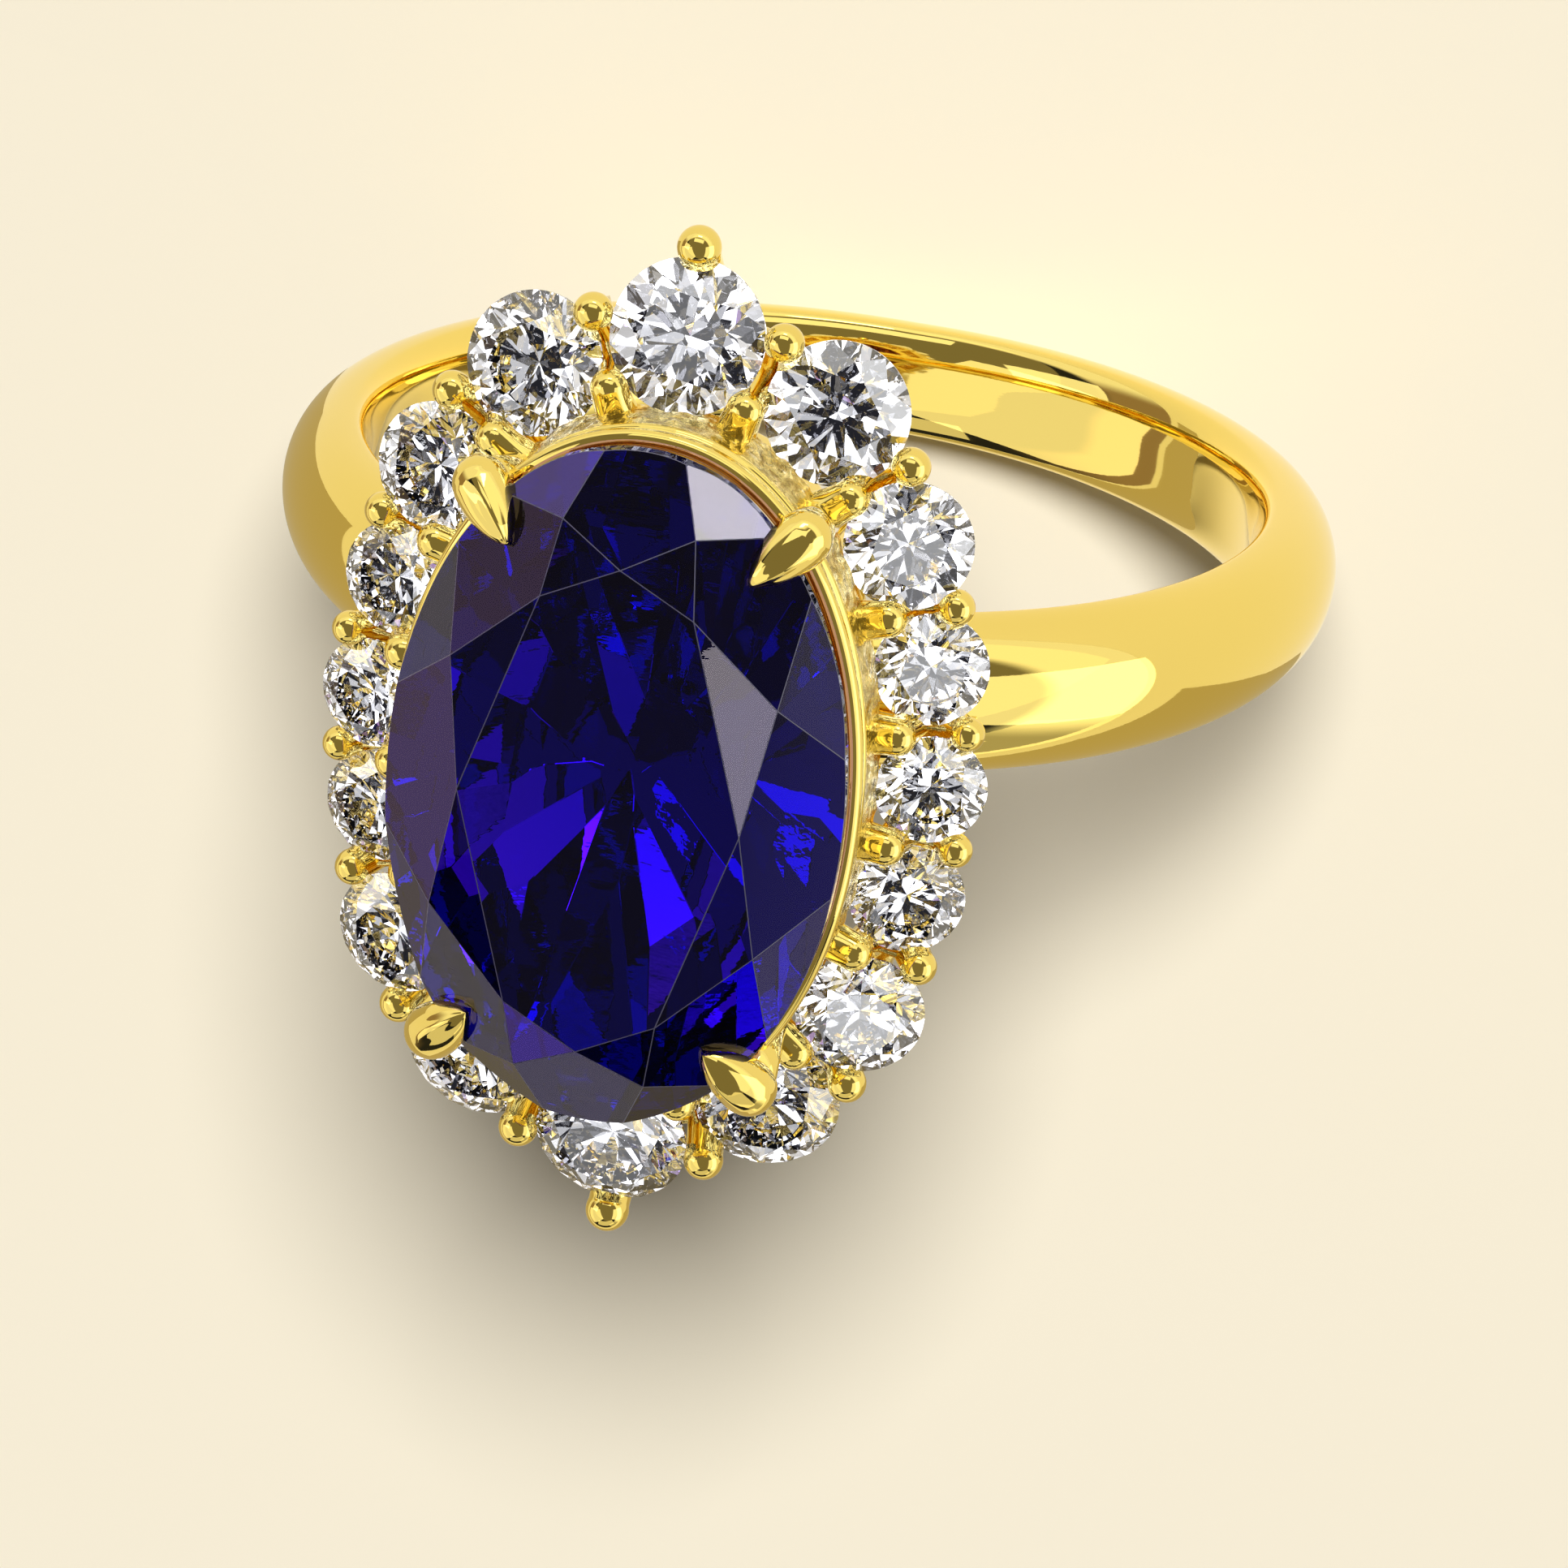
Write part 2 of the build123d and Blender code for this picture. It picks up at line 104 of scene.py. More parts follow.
# Proportions of a round brilliant of unit girdle radius
TABLE_RATIO = 0.57
CROWN_ANGLE = 34.5
STAR_SHARE = 0.5
PAVILION_ANGLE = 40.8
LOWER_HALF_SHARE = 0.77
BRILLIANT_GIRDLE = 0.07

# Prongs of one quarter: bead centre x, y, height, radius
OUTER_BEADS = (
    (1.70, 7.68, -2.37, 0.355),
    (4.10, 5.79, -2.51, 0.35),
    (5.15, 3.37, -2.53, 0.33),
    (5.58, 1.09, -2.53, 0.31),
)
TIP_BEAD = (0.0, 9.07, -2.62, 0.39)
INNER_BEADS = (
    (1.21, 6.50, -1.98, 0.34),
    (3.18, 5.19, -2.10, 0.34),
    (4.06, 3.13, -2.09, 0.34),
    (4.45, 1.03, -1.99, 0.34),
)
QUARTERS = ((1, 1), (-1, 1), (-1, -1), (1, -1))


# ---------------------------------------------------------------- meshes

def make_piece(name, points, faces, material, replaced, smooth=True):
    """A mesh from points in millimetres, riding on the one body and standing for CAD nodes."""
    mesh = bpy.data.meshes.new(name)
    mesh.from_pydata([tuple(p) for p in np.asarray(points, float) * MM], [], faces)
    mesh.polygons.foreach_set("use_smooth", [smooth] * len(mesh.polygons))
    mesh.materials.append(material)
    mesh.update()
    obj = bpy.data.objects.new(name, mesh)
    bpy.context.scene.collection.objects.link(obj)
    tidy_normals(mesh)
    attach(obj, "root")
    if replaced:
        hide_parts(*replaced)
    return obj


def tidy_normals(mesh):
    bm = bmesh.new()
    bm.from_mesh(mesh)
    bmesh.ops.remove_doubles(bm, verts=bm.verts, dist=1e-8)
    bmesh.ops.recalc_face_normals(bm, faces=bm.faces)
    bm.to_mesh(mesh)
    bm.free()


def grid_faces(rows, columns, close_rows, close_columns, first=0):
    """Quads of a grid of points laid out row by row."""
    faces = []
    for i in range(rows if close_rows else rows - 1):
        for j in range(columns if close_columns else columns - 1):
            a = first + i * columns + j
            b = first + i * columns + (j + 1) % columns
            c = first + ((i + 1) % rows) * columns + (j + 1) % columns
            d = first + ((i + 1) % rows) * columns + j
            faces.append((a, b, c, d))
    return faces


def join_parts(parts):
    """Several (points, faces) as one."""
    points, faces = [], []
    for part_points, part_faces in parts:
        first = len(points)
        points += [Vector(p) for p in part_points]
        faces += [tuple(first + i for i in face) for face in part_faces]
    return points, faces


def across_axis(axis):
    """Two unit vectors square to an axis and to each other."""
    side = axis.cross(Vector((0, 0, 1)) if abs(axis.z) < 0.9 else Vector((1, 0, 0))).normalized()
    return side, axis.cross(side).normalized()


def lathe(start, axis, profile, steps=40, shape=None):
    """A closed turned form. profile lists (distance along axis, radius) and shape scales the radius."""
    side, up = across_axis(axis)
    points = []
    for along, radius in profile:
        for i in range(steps):
            angle = 2 * pi * i / steps
            reach = radius * (shape(angle, along) if shape else 1)
            points.append(start + axis * along + (side * cos(angle) + up * sin(angle)) * reach)
    faces = grid_faces(len(profile), steps, False, True)
    faces.append(tuple(reversed(range(steps))))
    faces.append(tuple(range((len(profile) - 1) * steps, len(profile) * steps)))
    return points, faces


def oval_point(half_width, half_length, power, angle):
    c, s = cos(angle), sin(angle)
    reach = (abs(c) ** power + abs(s) ** power) ** (-1 / power)
    return half_width * c * reach, half_length * s * reach


def oval_outward(x, y, half_width, half_length, power):
    """The unit direction square to a superellipse at a point on it."""
    across = copysign(abs(x / half_width) ** (power - 1) / half_width, x)
    along = copysign(abs(y / half_length) ** (power - 1) / half_length, y)
    return Vector((across, along, 0)).normalized()


def oval_band(half_width, half_length, power, profile, steps, dent=None):
    """A ring swept round an oval. profile lists (offset outward, height above the girdle), closed."""
    points = []
    for i in range(steps):
        x, y = oval_point(half_width, half_length, power, 2 * pi * i / steps)
        outward = oval_outward(x, y, half_width, half_length, power)
        for k, (offset, height) in enumerate(profile):
            p = Vector((x, y, 0)) + outward * offset
            p.z = GIRDLE_HEIGHT + height
            points.append(dent(p, outward, k) if dent else p)
    return points, grid_faces(steps, len(profile), True, True)


def round_the_oval(quarter):
    """Every place that a quarter's list stands for, clockwise from the oval's +Y end."""
    places = {}
    for x, y, height, size in quarter:
        for sign_x, sign_y in QUARTERS:
            places[(x * sign_x + 0.0, y * sign_y + 0.0)] = (height, size)
    clockwise = sorted(places, key=lambda place: atan2(place[0], place[1]) % (2 * pi))
    return [(x, y, *places[(x, y)]) for x, y in clockwise]


def head_point(x, y, height):
    return Vector((x, y, GIRDLE_HEIGHT + height))


# ---------------------------------------------------------------- materials

def new_material(name):
    material = bpy.data.materials.new(name)
    material.use_nodes = True
    nodes = material.node_tree.nodes
    return material, nodes, material.node_tree.links, nodes["Principled BSDF"]


def noise_node(nodes, links, scale, detail, stretch=(1, 1, 1)):
    """A noise texture in object space, its scale in features per metre."""
    place = nodes.new("ShaderNodeTexCoord")
    mapping = nodes.new("ShaderNodeMapping")
    mapping.inputs["Scale"].default_value = stretch
    texture = nodes.new("ShaderNodeTexNoise")
    texture.inputs["Scale"].default_value = scale
    texture.inputs["Detail"].default_value = detail
    links.new(place.outputs["Object"], mapping.inputs["Vector"])
    links.new(mapping.outputs["Vector"], texture.inputs["Vector"])
    return texture


def remap(nodes, links, source, low, high, start=0.3, end=0.7):
    """A texture's value taken to a new range."""
    node = nodes.new("ShaderNodeMapRange")
    for key, value in (("From Min", start), ("From Max", end), ("To Min", low), ("To Max", high)):
        node.inputs[key].default_value = value
    links.new(source, node.inputs["Value"])
    return node.outputs["Result"]


def add_bump(nodes, links, shader, height, strength, distance):
    bump = nodes.new("ShaderNodeBump")
    bump.inputs["Strength"].default_value = strength
    bump.inputs["Distance"].default_value = distance
    links.new(height, bump.inputs["Height"])
    links.new(bump.outputs["Normal"], shader.inputs["Normal"])


GOLD_COLOUR = (0.95, 0.755, 0.21, 1)


def polished_gold():
    """Mirror-polished yellow gold: a breath of haze and hairline wear in the gloss."""
    material, nodes, links, shader = new_material("polished_gold")
    shader.inputs["Metallic"].default_value = 1
    shader.inputs["Base Color"].default_value = GOLD_COLOUR
    haze = noise_node(nodes, links, 700, 3)
    links.new(remap(nodes, links, haze.outputs["Fac"], 0.01, 0.05), shader.inputs["Roughness"])
    hairlines = noise_node(nodes, links, 2600, 2, (1, 9, 1))
    add_bump(nodes, links, shader, hairlines.outputs["Fac"], 0.02, 0.00001)
    return material


def cast_gold():
    """Gold polished over a cast skin: lumpy and rougher in the pits, with painted shade that darkens the
    pits and painted highlight that lightens the tops of the lumps.
    """
    material, nodes, links, shader = new_material("cast_gold")
    shader.inputs["Metallic"].default_value = 1
    lumps = noise_node(nodes, links, 3200, 5)
    # Painted shade and highlight: the base colour runs from dark gold in the pits to pale gold on the
    # lumps' tops, following the same noise as the bump.
    shade_and_highlight_ramp = nodes.new("ShaderNodeValToRGB")
    shade_and_highlight_ramp.color_ramp.elements[0].position = 0.35
    shade_and_highlight_ramp.color_ramp.elements[0].color = (0.62, 0.46, 0.12, 1)
    shade_and_highlight_ramp.color_ramp.elements[1].position = 0.6
    shade_and_highlight_ramp.color_ramp.elements[1].color = (1.0, 0.84, 0.34, 1)
    links.new(lumps.outputs["Fac"], shade_and_highlight_ramp.inputs["Fac"])
    links.new(shade_and_highlight_ramp.outputs["Color"], shader.inputs["Base Color"])
    links.new(remap(nodes, links, lumps.outputs["Fac"], 0.12, 0.03), shader.inputs["Roughness"])
    add_bump(nodes, links, shader, lumps.outputs["Fac"], 0.80, 0.00010)
    return material


def polish_lines(nodes, links, shader):
    """A stone's polish: mirror-bright, with the faint lines the lap leaves."""
    shader.inputs["Roughness"].default_value = 0
    lines = noise_node(nodes, links, 1400, 2, (1, 6, 1))
    add_bump(nodes, links, shader, lines.outputs["Fac"], 0.02, 0.000006)


def clear_stone():
    """Colourless brilliant: clean refraction under a lapped polish."""
    material, nodes, links, shader = new_material("white_stone")
    shader.inputs["Base Color"].default_value = (1, 1, 1, 1)
    shader.inputs["Transmission Weight"].default_value = 1
    shader.inputs["IOR"].default_value = 2.42
    polish_lines(nodes, links, shader)
    return material


def worn_edge():
    """The frosted line where two facets of the blue stone meet."""
    material, nodes, links, shader = new_material("worn_edge")
    shader.inputs["Base Color"].default_value = (0.13, 0.13, 0.20, 1)
    grain = noise_node(nodes, links, 5000, 2)
    links.new(remap(nodes, links, grain.outputs["Fac"], 0.12, 0.32), shader.inputs["Roughness"])
    return material


def mirror_back(name, colour, silk):
    """A pavilion's back, which returns the light that reaches it, rippled by the stone's silk."""
    material, nodes, links, shader = new_material(name)
    shader.inputs["Base Color"].default_value = colour
    shader.inputs["Metallic"].default_value = 1
    shader.inputs["Roughness"].default_value = 0
    ripple = noise_node(nodes, links, 900, 3, (1, 3, 1))
    add_bump(nodes, links, shader, ripple.outputs["Fac"], silk, 0.00006)
    return material


def blue_stone():
    """Dark blue stone: the light takes its colour from the length of its path inside."""
    material, nodes, links, shader = new_material("blue_stone")
    shader.inputs["Base Color"].default_value = (1, 1, 1, 1)
    shader.inputs["Transmission Weight"].default_value = 1
    shader.inputs["IOR"].default_value = 1.77
    shader.inputs["Specular Tint"].default_value = (0.40, 0.36, 0.62, 1)
    polish_lines(nodes, links, shader)
    depth = nodes.new("ShaderNodeVolumeAbsorption")
    depth.inputs["Color"].default_value = (0.52, 0.09, 0.90, 1)
    depth.inputs["Density"].default_value = 860
    links.new(depth.outputs["Volume"], nodes["Material Output"].inputs["Volume"])
    return material


POLISHED = polished_gold()
CAST = cast_gold()
CLEAR = clear_stone()
CLEAR_BACK = mirror_back("white_stone_back", (0.98, 0.98, 1, 1), 0.002)
FROST = worn_edge()
BLUE_BACK = mirror_back("blue_stone_back", (0.55, 0.40, 0.92, 1), 0.05)
BLUE = blue_stone()


# ---------------------------------------------------------------- shank

def band_section(turn, dome_steps=48, edge_steps=14):
    """The band's closed section at an angle from the head: (radius, y) points."""
    share = max(0.0, (1 + cos(turn)) / 2) ** BAND_TAPER_POWER
    half_width = (BAND_WIDTH_BACK + (BAND_WIDTH_HEAD - BAND_WIDTH_BACK) * share) / 2
    thickness = BAND_THICKNESS_BACK + (BAND_THICKNESS_HEAD - BAND_THICKNESS_BACK) * share
    widest = BORE_RADIUS + BAND_WIDEST_SHARE * thickness
    flat = half_width - BAND_INNER_ROUNDING
    section = []
    for i in range(dome_steps):
        a = -pi / 2 + pi * i / dome_steps
        section.append((widest + (BORE_RADIUS + thickness - widest) * cos(a), half_width * sin(a)))
    for i in range(edge_steps):
        a = pi / 2 * i / edge_steps
        section.append((widest - (widest - BORE_RADIUS) * sin(a), flat + BAND_INNER_ROUNDING * cos(a)))
    for i in range(4):
        section.append((BORE_RADIUS, flat * (1 - i / 2)))
    for i in range(1, edge_steps):
        a = pi / 2 * (1 - i / edge_steps)
        section.append((widest - (widest - BORE_RADIUS) * sin(a), -flat - BAND_INNER_ROUNDING * cos(a)))
    return section


def make_shank():
    turns = 480
    points = []
    for i in range(turns):
        turn = 2 * pi * i / turns
        section = band_section(turn)
        points += [(r * sin(turn), y, r * cos(turn)) for r, y in section]
    faces = grid_faces(turns, len(section), True, True)
    make_piece("shank_gold", points, faces, POLISHED, ["shank"])


# ---------------------------------------------------------------- stones

def cut_facets(bm, facets):
    """Grinds one flat facet per (point, outward normal) on a convex rough stone."""
    for point, normal in facets:
        geometry = bm.verts[:] + bm.edges[:] + bm.faces[:]
        cut = bmesh.ops.bisect_plane(
            bm, geom=geometry, dist=1e-6, plane_co=point, plane_no=normal, clear_outer=True
        )
        rim = [e for e in cut["geom_cut"] if isinstance(e, bmesh.types.BMEdge)]
        if rim:
            bmesh.ops.edgeloop_fill(bm, edges=rim)


def rough_stone(outline, bottom, top):
    """An upright prism with the girdle's outline."""
    bm = bmesh.new()
    lower = [bm.verts.new((x, y, bottom)) for x, y in outline]
    upper = [bm.verts.new((x, y, top)) for x, y in outline]
    bm.faces.new(list(reversed(lower)))
    bm.faces.new(upper)
    for i in range(len(outline)):
        j = (i + 1) % len(outline)
        bm.faces.new((lower[i], lower[j], upper[j], upper[i]))
    return bm


def stone_points(bm, worn=0.0):
    """(points, faces) of a finished cutting, its facet edges worn by a hair."""
    bmesh.ops.remove_doubles(bm, verts=bm.verts, dist=1e-5)
    if worn:
        bm.normal_update()
        sharp = [e for e in bm.edges if e.is_manifold and e.calc_face_angle() > radians(6)]
        bmesh.ops.bevel(bm, geom=sharp, offset=worn, segments=1, affect="EDGES", profile=0.5)
    bm.verts.index_update()
    points = [v.co.copy() for v in bm.verts]
    faces = [tuple(v.index for v in f.verts) for f in bm.faces]
    bm.free()
    return points, faces


def plane_through(a, b, c, outward):
    normal = (b - a).cross(c - a).normalized()
    if normal.dot(outward) < 0:
        normal = -normal
    return a, normal


def polar(radius, azimuth, height):
    return Vector((radius * cos(radians(azimuth)), radius * sin(radians(azimuth)), height))


def brilliant():
    """A round brilliant of unit radius, its girdle's middle at the origin and its table up."""
    top = BRILLIANT_GIRDLE / 2
    crown = top + (1 - TABLE_RATIO) * tan(radians(CROWN_ANGLE))
    half_step = cos(radians(22.5))
    star_radius = TABLE_RATIO * half_step + STAR_SHARE * (1 - TABLE_RATIO * half_step)
    star_height = top + tan(radians(CROWN_ANGLE)) * (1 - star_radius * half_step)
    lower_radius = 1 - LOWER_HALF_SHARE
    lower_height = -top - tan(radians(PAVILION_ANGLE)) * (1 - lower_radius * half_step)
    facets = [(Vector((0, 0, crown)), Vector((0, 0, 1)))]
    for i in range(8):
        main = 45 * i
        star = main + 22.5
        table_corners = [polar(TABLE_RATIO, azimuth, crown) for azimuth in (main, main + 45)]
        star_apex = polar(star_radius, star, star_height)
        lower_apex = polar(lower_radius, star, lower_height)
        facets.append(plane_through(*table_corners, star_apex, polar(1, star, 1)))
        for angle, side in ((CROWN_ANGLE, 1), (PAVILION_ANGLE, -1)):
            normal = polar(sin(radians(angle)), main, side * cos(radians(angle)))
            facets.append((polar(1, main, side * top), normal))
        for side in (main, main + 45):
            outward = polar(1, (side + star) / 2, 0)
            for apex, edge in ((star_apex, top), (lower_apex, -top)):
                facets.append(plane_through(polar(1, side, edge), polar(1, star, edge), apex, outward))
    outline = [(cos(2 * pi * i / 96), sin(2 * pi * i / 96)) for i in range(96)]
    bm = rough_stone(outline, -1.2, 1.2)
    cut_facets(bm, facets)
    return stone_points(bm)


def stone_place(x, y, height, diameter):
    """The matrix, in millimetres, that sets a unit brilliant in the halo."""
    outward = oval_outward(x, y, HALO_HALF_WIDTH, HALO_HALF_LENGTH, HALO_POWER)
    tilt = radians(HALO_STONE_TILT)
    up = outward * sin(tilt) + Vector((0, 0, cos(tilt)))
    side = Vector((0, 0, 1)).cross(outward)
    turn = Matrix((side, up.cross(side), up)).transposed().to_4x4()
    return Matrix.Translation(head_point(x, y, height)) @ turn @ Matrix.Scale(diameter / 2, 4)


SIDEWAYS_LIMIT = 0.2


def back_pavilion(obj, down, material):
    """Gives the facets that face down a second material."""
    obj.data.materials.append(material)
    for polygon in obj.data.polygons:
        polygon.material_index = 1 if polygon.normal.dot(down) > SIDEWAYS_LIMIT else 0


def make_diamonds():
    points, faces = brilliant()
    for i, (x, y, height, diameter) in enumerate(round_the_oval(HALO_STONES)):
        node = f"diamond_{i + 1:02d}"
        spin = Matrix.Rotation(radians(DICE.uniform(0, 45)), 4, "Z")
        place = stone_place(x, y, height, diameter) @ spin
        placed = [place @ p for p in points]
        obj = make_piece(f"{node}_cut", placed, faces, CLEAR, [node], smooth=False)
        back_pavilion(obj, -place.col[2].to_3d().normalized(), CLEAR_BACK)


def main_height(x, y, table_point, girdle_point):
    """The height of a crown main over (x, y), between its table edge and its foot on the girdle."""
    whole_run = hypot(girdle_point[0] - table_point[0], girdle_point[1] - table_point[1])
    drop = (CROWN_HEIGHT - GIRDLE_TOP) / whole_run
    run = abs(x - table_point[0]) if table_point[1] == 0 else abs(y - table_point[1])
    return CROWN_HEIGHT - drop * run


def oval_crown_facets():
    """Stars, mains and breaks of one quarter of the crown."""
    side = Vector((TABLE_SIDE_X, 0, CROWN_HEIGHT))
    end = Vector((0, TABLE_END_Y, CROWN_HEIGHT))
    corner = Vector((*TABLE_CORNER, CROWN_HEIGHT))
    side_foot = Vector((OVAL_HALF_WIDTH, 0, GIRDLE_TOP))
    end_foot = Vector((0, OVAL_HALF_LENGTH, GIRDLE_TOP))
    end_star = Vector((*END_STAR, main_height(*END_STAR, (0, TABLE_END_Y), (0, OVAL_HALF_LENGTH))))
    side_star = Vector((*SIDE_STAR, main_height(*SIDE_STAR, (TABLE_SIDE_X, 0), (OVAL_HALF_WIDTH, 0))))
    facets = [
        plane_through(end, corner, end_star, Vector((0, 1, 1))),
        plane_through(side, corner, side_star, Vector((1, 0, 1))),
        plane_through(corner, end_star, side_star, Vector((1, 1, 1))),
        plane_through(side, side_foot, side + Vector((0, 1, 0)), Vector((1, 0, 1))),
        plane_through(end, end_foot, end + Vector((1, 0, 0)), Vector((0, 1, 1))),
    ]
    for star, foot in ((end_star, END_BREAK_FOOT), (side_star, SIDE_BREAK_FOOT)):
        foot_point = Vector((*foot, BREAK_FOOT_HEIGHT))
        along = Vector((-foot[1] / OVAL_HALF_LENGTH**2, foot[0] / OVAL_HALF_WIDTH**2, 0))
        facets.append(plane_through(star, foot_point, foot_point + along, Vector((1, 1, 1))))
    return facets


def oval_pavilion_facets():
    """Mains, lower halves and flatter facets round the culet, for one quarter of the pavilion."""
    culet = Vector((0, 0, -PAVILION_DEPTH))
    facets = []
    for i in range(3):
        angle = radians(45 * i)
        girdle = Vector((OVAL_HALF_WIDTH * cos(angle), OVAL_HALF_LENGTH * sin(angle), GIRDLE_BOTTOM))
        along = Vector((-OVAL_HALF_WIDTH * sin(angle), OVAL_HALF_LENGTH * cos(angle), 0))
        outward = Vector((cos(angle), sin(angle), -1))
        facets.append(plane_through(girdle, culet, girdle + along, outward))
    share = 1 - LOWER_HALF_SHARE
    for i in range(4):
        angle = radians(11.25 + 22.5 * i)
        girdle = Vector((OVAL_HALF_WIDTH * cos(angle), OVAL_HALF_LENGTH * sin(angle), GIRDLE_BOTTOM))
        along = Vector((-OVAL_HALF_WIDTH * sin(angle), OVAL_HALF_LENGTH * cos(angle), 0))
        seam = radians(22.5 + 45 * (i // 2))
        seam_foot = Vector((
            OVAL_HALF_WIDTH * cos(seam) * share,
            OVAL_HALF_LENGTH * sin(seam) * share,
            culet.z * LOWER_HALF_SHARE,
        ))
        outward = Vector((cos(angle), sin(angle), -1))
        facets.append(plane_through(girdle, girdle + along, seam_foot, outward))
    for i in range(4):
        angle = radians(11.25 + 22.5 * i)
        middle = Vector((OVAL_HALF_WIDTH * cos(angle) / 2, OVAL_HALF_LENGTH * sin(angle) / 2, culet.z / 2))
        along = Vector((-OVAL_HALF_WIDTH * sin(angle), OVAL_HALF_LENGTH * cos(angle), 0))
        flat_end = Vector((0, 0, culet.z * CULET_SHARE))
        outward = Vector((cos(angle), sin(angle), -1))
        facets.append(plane_through(middle, middle + along, flat_end, outward))
    return facets


def hand_cut(normal):
    """A pavilion facet's direction, a degree or so off the ideal, as the cutter leaves it."""
    slip = Vector([CUT_DICE.uniform(-HAND_ERROR, HAND_ERROR) for _ in range(3)])
    return (normal + slip).normalized()


GIRDLE_SIDES = 192
HAND_ERROR = 0.025
WORN_EDGE = 0.010
SLIVER_BREADTH = 0.022


def frost_edges(obj):
    """Gives the crown's slivers, left where its facet edges are worn, a frosted material."""
    mesh = obj.data
    mesh.materials.append(FROST)
    for polygon in mesh.polygons:
        corners = [mesh.vertices[v].co for v in polygon.vertices]
        longest = max((a - b).length for a, b in zip(corners, corners[1:] + corners[:1]))
        sliver = polygon.area / longest < SLIVER_BREADTH * MM
        if polygon.normal.z > SIDEWAYS_LIMIT and sliver:
            polygon.material_index = 2


def make_centre_stone():
    turns = [2 * pi * i / GIRDLE_SIDES for i in range(GIRDLE_SIDES)]
    outline = [oval_point(OVAL_HALF_WIDTH, OVAL_HALF_LENGTH, OVAL_POWER, turn) for turn in turns]
    bm = rough_stone(outline, -PAVILION_DEPTH - 1, CROWN_HEIGHT + 1)
    facets = [(Vector((0, 0, CROWN_HEIGHT)), Vector((0, 0, 1)))]
    for sign_x, sign_y in QUARTERS:
        flip = Vector((sign_x, sign_y, 1))
        facets += [(point * flip, normal * flip) for point, normal in oval_crown_facets()]
        facets += [(point * flip, hand_cut(normal * flip)) for point, normal in oval_pavilion_facets()]
    cut_facets(bm, facets)
    points, faces = stone_points(bm, WORN_EDGE)
    raised = [p + Vector((0, 0, GIRDLE_HEIGHT)) for p in points]
    obj = make_piece("centre_stone_cut", raised, faces, BLUE, ["centre_stone"], smooth=False)
    back_pavilion(obj, Vector((0, 0, -1)), BLUE_BACK)
    frost_edges(obj)


# ---------------------------------------------------------------- prongs

PRONG_FOOT_HEIGHT = -3.55
PRONG_NECK_SHARE = 0.95
PRONG_FOOT_WIDENING = 1.08
OUTER_FOOT_SHARE = 0.87
INNER_FOOT_SHARE = 1.04
POST_SHARE = 0.8
BARREL_LENGTH = 0.8
BARREL_FLARE = 0.30
SEAT_GROWTH = 1.004
SEAT_SLOPE = 1.03
SEAT_REACH = 1.0
CRISP_ANGLE = 32


def bead_profile(radius, length):
    """From the post's wide foot up to the crown of its bead, which sits at the end of the length."""
    neck = acos(PRONG_NECK_SHARE)
    profile = []
    for i in range(8):
        share = i / 8
        width = PRONG_FOOT_WIDENING + (PRONG_NECK_SHARE - PRONG_FOOT_WIDENING) * share
        profile.append((length * share * POST_SHARE, radius * width))
    steps = 18
    for i in range(steps):
        a = -neck + (pi / 2 + neck) * i / steps
        profile.append((length + radius * sin(a), radius * cos(a)))
    profile.append((length + radius, radius * 0.02))
    return profile


def prong_form(bead, foot_share):
    x, y, height, radius = bead
    top = head_point(x, y, height)
    foot = head_point(x * foot_share, y * foot_share, PRONG_FOOT_HEIGHT)
    axis = (top - foot).normalized()
    return lathe(foot, axis, bead_profile(radius, (top - foot).length))


def make_seats():
    """One plain round form for each halo stone, a little larger than the stone, that cuts its seat."""
    slope = tan(radians(PAVILION_ANGLE)) * SEAT_SLOPE
    top = BRILLIANT_GIRDLE / 2
    profile = [(-top - slope, 0.001), (-top, 1.0), (top, 1.0), (top + 0.30, 0.58), (top + 0.31, 0.001)]
    points, faces = lathe(Vector((0, 0, 0)), Vector((0, 0, 1)), profile, 64)
    seats = []
    for x, y, height, diameter in round_the_oval(HALO_STONES):
        place = stone_place(x, y, height, diameter * SEAT_GROWTH)
        mesh = bpy.data.meshes.new("seat")
        mesh.from_pydata([place @ p * MM for p in points], [], faces)
        tidy_normals(mesh)
        seat = bpy.data.objects.new("seat", mesh)
        bpy.context.scene.collection.objects.link(seat)
        seats.append((Vector((x, y)), diameter / 2, seat))
    return seats


def carve(obj, centre, seats):
    """Cuts the nearby stones' seats out of a piece and keeps its edges crisp."""
    for middle, radius, seat in seats:
        if (middle - centre).length < radius + SEAT_REACH:
            cut = obj.modifiers.new("seat", "BOOLEAN")
            cut.operation = "DIFFERENCE"
            cut.solver = "EXACT"
            cut.use_self = True
            cut.object = seat
    whole = obj.evaluated_get(bpy.context.evaluated_depsgraph_get())
    mesh = bpy.data.meshes.new_from_object(whole)
    obj.modifiers.clear()
    obj.data = mesh
    mesh.set_sharp_from_angle(angle=radians(CRISP_ANGLE))


def file_marks(angle, along):
    """Ribs that run down the barrel towards the collet."""
    fade = min(1.0, max(0.0, (along - 0.15) / 0.25))
    return 1 + fade * 0.07 * noise.noise(Vector((cos(angle) * 3.2, sin(angle) * 3.2, along * 1.5)))


def inner_prong_form(bead):
    x, y, height, radius = bead
    outward = oval_outward(x, y, HALO_HALF_WIDTH, HALO_HALF_LENGTH, HALO_POWER)
    axis = (-outward + Vector((0, 0, -0.12))).normalized()
    profile = [(-radius, radius * 0.02)]
    for i in range(1, 15):
        a = -pi / 2 + pi / 2 * i / 14
        profile.append((radius * sin(a), radius * cos(a)))
    for i in range(1, 13):
        share = i / 12
        profile.append((BARREL_LENGTH * share, radius * (1 + BARREL_FLARE * share**2)))
    barrel = lathe(head_point(x, y, height), axis, profile, 48, file_marks)
    return join_parts([prong_form(bead, INNER_FOOT_SHARE), barrel])


